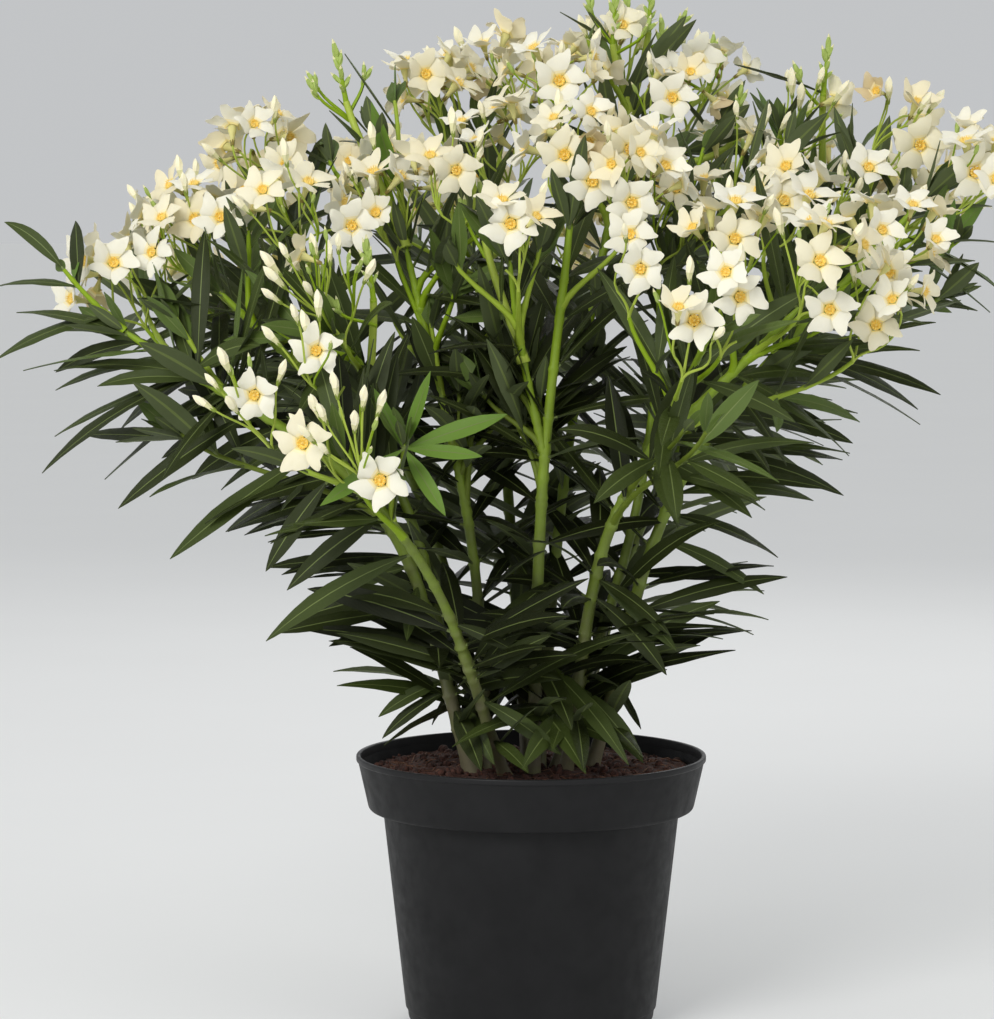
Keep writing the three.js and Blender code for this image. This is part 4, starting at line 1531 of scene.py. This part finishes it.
def settle_leaves(rows, rng):
    """Aims the leaves with fixed tips and keeps the rest in the crown and clear of the pot."""
    base, heading, long, droop = columns(rows, 0, 1, 3, 5)
    heading = unit(heading)
    aimed = np.array([row[7] is not None for row in rows])
    tips = np.array([row[0] if row[7] is None else row[7] for row in rows])
    pot = settings("pot")
    middles, halves = crown_masses()

    def mass_gaps(lines):
        """How far each tip lies from each mass, as a share of its size."""
        return np.linalg.norm((lines[:, -1, None, :] - middles) / halves, axis=-1)

    for _ in range(6):
        lines, _ = leaf_lines(base, heading, long, droop)
        miss = tips - lines[:, -1]
        heading[aimed] = unit(heading[aimed] + miss[aimed] / long[aimed, None])
    for _ in range(9):
        lines, _ = leaf_lines(base, heading, long, droop)
        over_pot = np.hypot(lines[..., 0], lines[..., 1]) < pot.lip_radius + 0.01
        low = ((lines[..., 2] < pot.height + 0.006) & over_pot).any(axis=1) & ~aimed
        heading[low] = unit(heading[low] + UP * 0.12)
        droop[low] *= 0.8
        long[leaves_the_box(lines)] *= 0.9
        gaps = mass_gaps(lines)
        stray = (gaps.min(axis=1) > CROWN_MARGIN) & ~aimed
        inward = middles[np.argmin(gaps, axis=1)] - lines[:, -1]
        inward[:, 2] = np.clip(inward[:, 2], -0.01, None)
        heading[stray] = unit(heading[stray] + unit(inward[stray]) * 0.09)
        long[stray] *= 0.965
    lines, _ = leaf_lines(base, heading, long, droop)
    sunk = (lines[..., 2] < SOIL_TOP + 0.004).any(axis=1)
    stray = mass_gaps(lines).min(axis=1) > CROWN_MARGIN * 1.12
    hanging = lines[:, 0, 2] - lines[:, -1, 2] > 0.6 * long
    thinned = hides_stem(lines) & (rng.random(len(lines)) < 0.72)
    unwanted = (stray | hanging | thinned | crosses_flower(lines)) & ~aimed
    return base, heading, long, droop, ~(sunk | leaves_the_box(lines) | unwanted)


def leaf_rings(base, heading, upper, long, broad, droop, rng):
    """Rings of closed thin blades, folded along the rib and waved at the edge."""
    count = len(base)
    shares = LEAF_SHARES[None, :, None]
    across, under = LEAF_ACROSS[None, None, :], LEAF_UNDER[None, None, :]
    lines, bent = leaf_lines(base, heading, long, droop)
    normal = unit(upper[:, None, :] - bent * np.sum(upper[:, None, :] * bent, axis=-1, keepdims=True))
    side = np.cross(bent, normal)
    twist = rng.normal(0, 0.35, count)[:, None, None] * shares
    cosine, sine = np.cos(twist), np.sin(twist)
    normal, side = normal * cosine - side * sine, side * cosine + normal * sine
    half = (broad[:, None] * LEAF_BREADTHS / 2)[:, :, None]
    folds = settings("leaf").fold * rng.uniform(0.5, 1.5, count)[:, None, None]
    curl = 0.16 * np.abs(across)**3
    phase = rng.uniform(0, ANY_ANGLE, (count, 1, 1))
    wave = 0.055 * np.sin(phase + shares * 17 + across * 1.6) * across**2
    lift = half * (folds * np.abs(across) - curl + wave) * (1 - under)
    keel = (0.0009 - 0.0006 * shares) * under
    depth = np.where(shares < 0.08, LEAF_STALK_DEPTH, LEAF_BLADE_DEPTH)
    lift = lift + depth * (1 - under) * (np.abs(across) < 0.9) - keel - depth * under
    return (
        lines[:, :, None, :] + side[:, :, None, :] * (across * half)[..., None]
        + normal[:, :, None, :] * lift[..., None]
    )


def leaf_materials():
    """The leaf tints from deepest to youngest, then rib and underside."""
    look = settings("leaf")
    tints = (look.deep, look.dark, look.middle, look.light, look.young)
    made = [
        living_material(f"leaf_tint_{place}", tint, (0.34, 0.5), (230.0, 26.0, 0.5), strength=0.4)
        for place, tint in enumerate(tints)
    ]
    made.append(living_material("leaf_rib", look.rib, (0.42, 0.58)))
    made.append(living_material("leaf_underside", look.underside, (0.55, 0.7), (230.0, 26.0, 0.7)))
    return made


def sector_of(points, sectors):
    """For each point, the name of the sector that holds the nearest solid."""
    names = [(node, sector) for sector, nodes in sectors.items() for node in nodes]
    middles, halves = middles_and_halves([node for node, _ in names])
    gaps = np.linalg.norm((points[:, None, :] - middles) / halves, axis=-1)
    return np.array([names[place][1] for place in np.argmin(gaps, axis=1)])


def build_leaves():
    """Spreads the leaves in whorls over the shoots, one piece for each side of the crown."""
    rows = grown_plant().leaves.rows
    rng = np.random.default_rng(SEED)
    base, heading, long, droop, keep = settle_leaves(rows, rng)
    upper, broad, tint = columns(rows, 2, 4, 6)
    rings = leaf_rings(base, heading, unit(upper), long, broad, droop, rng)
    column_slots = np.array((-1, -1, RIB_SLOT, -1, -1, UNDERSIDE_SLOT, RIB_SLOT, UNDERSIDE_SLOT))
    slots = np.where(column_slots < 0, tint[:, None, None], column_slots)
    slots = np.repeat(slots, len(LEAF_SHARES) - 1, axis=1)
    slots[:, 0, :] = RIB_SLOT
    sectors = sector_of(rings[:, 5].mean(axis=1), LEAF_SECTORS)
    materials = leaf_materials()
    for sector, nodes in LEAF_SECTORS.items():
        chosen = (sectors == sector) & keep
        sheaf = Sheaf()
        sheaf.add(rings[chosen], slots[chosen], LEAF_ACROSS)
        sheaf.piece(sector, materials, 55, "leaves", nodes)


# ---- Flowers ----

PETAL_SHARES = np.array((0.0, 0.12, 0.25, 0.4, 0.56, 0.72, 0.86, 0.96, 1.0))
PETAL_BREADTHS = np.array((0.44, 0.53, 0.69, 0.87, 0.98, 1.03, 1.03, 0.97, 0.8))
PETAL_ACROSS = np.array((-1.0, -0.5, 0.0, 0.5, 1.0, 0.5, 0.0, -0.5))
PETAL_UNDER = np.array((0, 0, 0, 0, 0, 1, 1, 1))
PETALS = 5
PETAL_DEPTH = 0.00042

# How a petal leans from level, in radians: at its foot, and towards its tip when shut or open.
FOOT_LEAN = 1.0
SHUT_LEAN = 1.35
OPEN_LEAN = -0.12

# How far a petal's end slants, scallops and ruffles, the last in metres.
PETAL_SLANT = 0.16
PETAL_SCALLOP = 0.045
PETAL_RUFFLE = 0.0011

THROAT_LINES = 10
FRINGE_TEETH = 10
GLOW_SLOT = 4
FLUSH_SLOT = 5
FRINGE_SLOT = 3


def on_flowers(local, place, spin):
    """Shapes in the flowers' own axes moved to their places, one row for each part."""
    origin, facing = place
    return placed(local, origin, axes_facing(facing, spin)).reshape(-1, *local.shape[-3:])


def part_turns(parts):
    """The turns of a flower's like parts round its axis, shaped (parts, 1, 1)."""
    return 2 * math.pi * np.arange(parts)[:, None, None] / parts


def petal_rings(place, openness, size, spin, rng):
    """Rings of the five slanting petals of every flower."""
    look = settings("flower")
    shape = (len(size), PETALS, 1, 1)
    shares = PETAL_SHARES[:, None]
    across = PETAL_ACROSS
    size = size[:, None, None, None]
    openness = openness[:, None, None, None]
    reach = look.petal_length * size * rng.uniform(0.93, 1.08, shape)
    half = look.petal_breadth / 2 * size * PETAL_BREADTHS[:, None] * rng.uniform(0.92, 1.1, shape)
    scallop = np.sin(rng.uniform(0, ANY_ANGLE, shape) + across * 4.6)
    slanted = shares + PETAL_SLANT * across * shares**2 + PETAL_SCALLOP * scallop * shares**3
    swing = mix(SHUT_LEAN, OPEN_LEAN, openness) + rng.uniform(-0.22, 0.22, shape) - FOOT_LEAN
    steps = np.sqrt(np.clip(slanted, 0, None))
    lean = FOOT_LEAN + swing * steps
    climb = FOOT_LEAN + swing * steps * 0.62
    radius = look.throat_radius * size + reach * slanted * np.cos(climb)
    height = reach * slanted * np.sin(climb) - 0.0016 * size
    offset = across * half + 0.0017 * size * shares**1.6
    twist = rng.uniform(0.12, 0.34, shape)
    height = height + twist * across * half - 0.16 * across**2 * half * openness
    ruffle = np.sin(rng.uniform(0, ANY_ANGLE, shape) + across * 3 + shares * 5)
    thin = PETAL_DEPTH * PETAL_UNDER * (1 - 0.6 * shares)
    height = height + PETAL_RUFFLE * ruffle * shares**2 - thin * np.cos(lean)
    local = round_axis(radius + thin * np.sin(lean), offset, height, part_turns(PETALS))
    return on_flowers(local, place, spin)


def throat_rings(place, size, spin):
    """Rings of the funnels: up the outside to the mouth, then down the inside."""
    look = settings("flower")
    mouth, deep = look.throat_radius, look.tube_length
    outline = np.array((
        (0.0011, -deep), (0.0016, -deep * 0.82), (0.0021, -deep * 0.55), (0.0032, -deep * 0.3),
        (mouth * 0.98, -0.0010), (mouth * 1.04, 0.0002), (mouth * 0.92, -0.0006),
        (mouth * 0.72, -0.0011), (mouth * 0.46, -0.0018), (mouth * 0.12, -0.0022),
    ))
    wide = 2 * math.pi / THROAT_LINES
    angle = (np.arange(THROAT_LINES)[:, None] * wide + np.array((0.0, wide * 0.68))).ravel()
    local = round_axis(outline[:, :1], 0.0, outline[:, 1:], angle)
    return on_flowers(local * size[:, None, None, None], place, spin)


def fringe_rings(place, size, spin, rng):
    """Rings of the small teeth that stand round each mouth."""
    shape = (len(size), FRINGE_TEETH, 1, 1)
    turn = (np.arange(FRINGE_TEETH) + 0.5)[:, None, None] * 2 * math.pi / FRINGE_TEETH
    turn = turn + rng.uniform(-0.08, 0.08, shape)
    tall = rng.uniform(0.0022, 0.0044, shape)
    along = np.array((0.0, 0.55, 1.0))[:, None]
    ring = ring_angles(3)
    thick = 0.00062 * (1 - 0.85 * along)
    radius = settings("flower").throat_radius * 0.9 - tall * 0.18 * along + thick * np.cos(ring)
    local = round_axis(radius, -thick * np.sin(ring) * 1.5, tall * along - 0.0008, turn)
    return on_flowers(local * size[:, None, None, None, None], place, spin)


def tuft_rings(place, size, spin):
    """Rings of the twisted tuft in the middle of each throat."""
    along = np.linspace(0, 1, 5)[:, None]
    ring = ring_angles(6)
    radius = 0.0016 * (1 - 0.8 * along**1.5) * (1 + 0.3 * np.cos(ring * 3))
    local = round_axis(radius, 0.0, -0.0028 + 0.0040 * along, ring + along * 2.2)
    return on_flowers(local * size[:, None, None, None], place, spin)


def sepal_rings(place, size, spin):
    """Rings of the five small sepals round the foot of each tube or bud."""
    along = np.array((0.0, 0.35, 0.7, 1.0))[:, None]
    across = np.array((-1.0, 0.0, 1.0, 0.0))
    over = np.array((0.0, 1.0, 0.0, -1.0))
    half = np.array((0.0009, 0.0011, 0.0007, 0.0001))[:, None]
    radius = 0.0011 + 0.0011 * along - 0.0003 * along**2 - over * 0.00028
    local = round_axis(radius, across * half, 0.0052 * along - 0.0008, part_turns(PETALS))
    return on_flowers(local * size[:, None, None, None, None], place, spin)


def petal_materials():
    """Petal tints from whitest to faded, then the yellow base and the flush beyond it."""
    look = settings("flower")
    tints = (look.white, look.ivory, look.cream, look.faded)
    made = [
        living_material(f"petal_tint_{place}", tint, (0.5, 0.68), (34.0, -46.0, 0.5), glow=0.2)
        for place, tint in enumerate(tints)
    ]
    flush = mix_colour(look.glow, look.white, 0.5)
    for name, tint in (("petal_base", look.glow), ("petal_flush", flush)):
        made.append(living_material(name, tint, (0.5, 0.66), glow=0.2))
    return made


def throat_materials():
    """Outside of the tube, inside of the funnel, its lines and its fringe."""
    look = settings("flower")
    return [
        living_material("throat_tube", look.tube, (0.45, 0.6), glow=0.2),
        living_material("throat_gold", look.gold, (0.42, 0.58), glow=0.2),
        living_material("throat_line", look.line, (0.42, 0.58)),
        living_material("throat_fringe", mix_colour(look.gold, look.glow, 0.6), (0.45, 0.6)),
    ]


def build_flowers():
    """Opens the flowers: petals, throats and sepals, one set for each side of the crown."""
    look = settings("flower")
    rng = np.random.default_rng(SEED + 1)
    origin, facing, openness, size, tint = columns(grown_plant().flowers, 0, 1, 2, 3, 4)
    facing = unit(facing)
    spin = rng.uniform(0, ANY_ANGLE, len(origin))
    sectors = sector_of(origin, FLOWER_SECTORS)
    petal_finish, throat_finish = petal_materials(), throat_materials()
    for sector, nodes in FLOWER_SECTORS.items():
        chosen = sectors == sector
        place, wide, turn = (origin[chosen], facing[chosen]), size[chosen], spin[chosen]
        petals = Sheaf()
        rings = petal_rings(place, openness[chosen], wide, turn, rng)
        slots = np.repeat(tint[chosen], PETALS)[:, None, None]
        slots = np.broadcast_to(slots, (len(rings), len(PETAL_SHARES) - 1, len(PETAL_ACROSS))).copy()
        slots[:, 0, :] = GLOW_SLOT
        slots[:, 1, :] = FLUSH_SLOT
        petals.add(rings, slots, PETAL_ACROSS)
        petals.piece("petals_" + sector, petal_finish, 60, "blossom", nodes)
        throats = Sheaf()
        rings = throat_rings(place, wide, turn)
        slots = np.zeros((1, rings.shape[1] - 1, rings.shape[2]), int)
        slots[:, 4, :] = FRINGE_SLOT
        slots[:, 5:, 0::2] = 1
        slots[:, 5:, 1::2] = 2
        throats.add(rings, slots)
        throats.add(fringe_rings(place, wide, turn, rng), FRINGE_SLOT)
        throats.add(tuft_rings(place, wide, turn), FRINGE_SLOT)
        throats.piece("throats_" + sector, throat_finish, 50, "blossom")
    sepals = Sheaf()
    sepals.add(sepal_rings((origin - facing * look.tube_length * size[:, None], facing), size, spin), 0)
    sepals.piece("sepals", [living_material("sepal_olive", look.calyx, (0.45, 0.6))], 50, "leaves")


def bud_rings(place, long, green, spin):
    """Rings of the twisted buds. Ripe ones are thickest above the middle, green ones below it."""
    along = np.array((0.0, 0.1, 0.24, 0.42, 0.6, 0.76, 0.9, 1.0))[:, None]
    ripe_girth = np.array((0.3, 0.48, 0.6, 0.82, 1.0, 0.86, 0.5, 0.08))[:, None]
    young_girth = np.array((0.5, 0.78, 0.96, 1.0, 0.86, 0.6, 0.3, 0.05))[:, None]
    girth = np.where(green[:, None, None], young_girth, ripe_girth)
    ring = ring_angles(10)
    local = round_axis(0.145 * girth * (1 + 0.11 * np.cos(ring * 5)), 0.0, along, ring + along * 1.8)
    return on_flowers(local * long[:, None, None, None], place, spin)


def build_buds():
    """Sets the ripe and green buds, their sepals and every flower's and bud's own stalk."""
    plant, look, wood, leaf = grown_plant(), settings("flower"), settings("stem"), settings("leaf")
    base, heading, long, green = columns(plant.buds, 0, 1, 2, 3)
    place, green = (base, unit(heading)), green == 1
    spin = np.random.default_rng(SEED + 2).uniform(0, ANY_ANGLE, len(base))
    rings = bud_rings(place, long, green, spin)
    slots = np.where(green[:, None, None], 2, np.array((1, 1, 1, 0, 0, 0, 0))[:, None])
    slots = np.broadcast_to(slots, (len(base), 7, 10)).copy()
    slots[green, 5:, :] = 1
    buds = Sheaf()
    buds.add(rings, slots)
    materials = [
        living_material("bud_cream", look.ivory, (0.45, 0.62), glow=0.2),
        living_material("bud_base", mix_colour(look.cream, look.bud_green, 0.35), (0.45, 0.62)),
        living_material("bud_green", look.bud_green, (0.42, 0.58)),
    ]
    buds.piece("buds", materials, 60, "blossom", SPROUTS)
    sepals = Sheaf()
    sepals.add(sepal_rings(place, np.where(green, 0.5, 0.95), spin), 0)
    calyx = living_material("bud_sepal_green", mix_colour(leaf.light, wood.shoot_yellow, 0.5), (0.45, 0.6))
    sepals.piece("bud_sepals", [calyx], 50, "leaves")
    lines, thick, thin, young = columns(plant.stalks, 0, 1, 2, 3)
    radii = mix(thick[:, None], thin[:, None], np.linspace(0, 1, lines.shape[1]))
    stalks = Sheaf()
    stalks.add(tube_rings(lines, radii, 6), young[:, None, None])
    materials = [
        living_material("stalk_green", wood.shoot_green, (0.4, 0.56)),
        living_material("stalk_yellow", wood.shoot_yellow, (0.4, 0.56)),
    ]
    stalks.piece("flower_stalks", materials, 60, "green_bark")


# ---- Stage ----

def add_area_light(name, place, aim, size, power):
    """Adds a soft square light that looks at a place."""
    lamp = bpy.data.lights.new(name, "AREA")
    lamp.size = size
    lamp.energy = power
    made = bpy.data.objects.new(name, lamp)
    made.location = place
    way = unit(np.array(aim) - np.array(place))
    made.rotation_euler = (math.acos(float(np.clip(-way[2], -1, 1))), 0.0, math.atan2(-way[0], way[1]))
    bpy.context.scene.collection.objects.link(made)


def build_stage():
    """Lays the pale floor and sets the soft lights and the camera."""
    stage = settings("stage")
    sheaf = Sheaf()
    far = stage.floor_radius
    sheaf.add(turned_rings(((0.5, -0.02), (far, -0.02), (far, 0.0), (0.5, 0.0)), 96), 0)
    tints = (stage.floor, mix_colour(stage.floor, (1.0, 1.0, 1.0, 1.0), 0.03))
    finish = mottled_material("floor_pale", tints, 3.0, (0.85, 0.95), 60.0, (0.05, 0.0002))
    surface = finish.node_tree.nodes["Principled BSDF"]
    surface.inputs["Specular IOR Level"].default_value = 0.05
    surface.inputs["Emission Color"].default_value = stage.sky
    surface.inputs["Emission Strength"].default_value = stage.sky_strength * (1 - stage.floor[1])
    sheaf.piece("floor", [finish], 45)
    world = bpy.data.worlds.new("surround")
    world.use_nodes = True
    background = world.node_tree.nodes["Background"]
    background.inputs["Color"].default_value = stage.sky
    background.inputs["Strength"].default_value = stage.sky_strength
    bpy.context.scene.world = world
    bpy.context.scene.view_settings.view_transform = "Standard"
    middle = (0.0, 0.0, 0.5)
    add_area_light("key_light", (-1.5, -2.6, 2.3), middle, 1.6, stage.key_power)
    add_area_light("fill_light", (2.3, -1.9, 1.4), middle, 1.8, stage.fill_power)
    add_area_light("back_light", (0.6, 2.6, 2.2), middle, 1.8, stage.fill_power * 1.6)
    camera = bpy.data.cameras.new("camera")
    camera.lens = stage.lens
    camera.clip_end = 200.0
    holder = bpy.data.objects.new("camera", camera)
    holder.location = (stage.camera_side, -stage.camera_distance, stage.camera_height)
    holder.rotation_euler = (math.pi / 2 - stage.camera_pitch, 0.0, 0.0)
    bpy.context.scene.collection.objects.link(holder)
    bpy.context.scene.camera = holder


# ---- Operators, panel and registration ----

class OLEANDER_OT_stage(bpy.types.Operator):
    """Lay the floor and set the lights and the camera"""

    bl_idname = "oleander.stage"
    bl_label = "Stage"

    def execute(self, context):
        build_stage()
        return {"FINISHED"}


class OLEANDER_OT_pot(bpy.types.Operator):
    """Turn the pot"""

    bl_idname = "oleander.pot"
    bl_label = "Pot"

    def execute(self, context):
        build_pot()
        return {"FINISHED"}


class OLEANDER_OT_soil(bpy.types.Operator):
    """Lay the soil"""

    bl_idname = "oleander.soil"
    bl_label = "Soil"

    def execute(self, context):
        build_soil()
        return {"FINISHED"}


class OLEANDER_OT_limbs(bpy.types.Operator):
    """Skin the stems, boughs and twigs"""

    bl_idname = "oleander.limbs"
    bl_label = "Stems and twigs"

    def execute(self, context):
        build_limbs()
        return {"FINISHED"}


class OLEANDER_OT_leaves(bpy.types.Operator):
    """Spread the leaves"""

    bl_idname = "oleander.leaves"
    bl_label = "Leaves"

    def execute(self, context):
        build_leaves()
        return {"FINISHED"}


class OLEANDER_OT_flowers(bpy.types.Operator):
    """Open the flowers"""

    bl_idname = "oleander.flowers"
    bl_label = "Flowers"

    def execute(self, context):
        build_flowers()
        return {"FINISHED"}


class OLEANDER_OT_buds(bpy.types.Operator):
    """Set the buds and the flower stalks"""

    bl_idname = "oleander.buds"
    bl_label = "Buds and stalks"

    def execute(self, context):
        build_buds()
        return {"FINISHED"}


class OLEANDER_PT_parts(bpy.types.Panel):
    """Lists the parts of the plant"""

    bl_label = "Oleander"
    bl_idname = "OLEANDER_PT_parts"
    bl_space_type = "VIEW_3D"
    bl_region_type = "UI"
    bl_category = "Oleander"

    def draw(self, context):
        for operator in OPERATORS:
            self.layout.operator(operator.bl_idname)


OPERATORS = (
    OLEANDER_OT_stage,
    OLEANDER_OT_pot,
    OLEANDER_OT_soil,
    OLEANDER_OT_limbs,
    OLEANDER_OT_leaves,
    OLEANDER_OT_flowers,
    OLEANDER_OT_buds,
)
GROUPS = {
    "oleander_pot": PotSettings,
    "oleander_stem": StemSettings,
    "oleander_leaf": LeafSettings,
    "oleander_flower": FlowerSettings,
    "oleander_stage": StageSettings,
}


def register():
    """Registers the settings, operators and panel."""
    for name, group in GROUPS.items():
        bpy.utils.register_class(group)
        setattr(bpy.types.Scene, name, bpy.props.PointerProperty(type=group))
    for made in (*OPERATORS, OLEANDER_PT_parts):
        bpy.utils.register_class(made)


def unregister():
    """Takes everything back out again."""
    for made in (OLEANDER_PT_parts, *reversed(OPERATORS)):
        bpy.utils.unregister_class(made)
    for name, group in reversed(GROUPS.items()):
        delattr(bpy.types.Scene, name)
        bpy.utils.unregister_class(group)


def main():
    """Builds every part in order."""
    register()
    for operator in OPERATORS:
        group, name = operator.bl_idname.split(".")
        getattr(getattr(bpy.ops, group), name)()


if __name__ == "__main__":
    main()
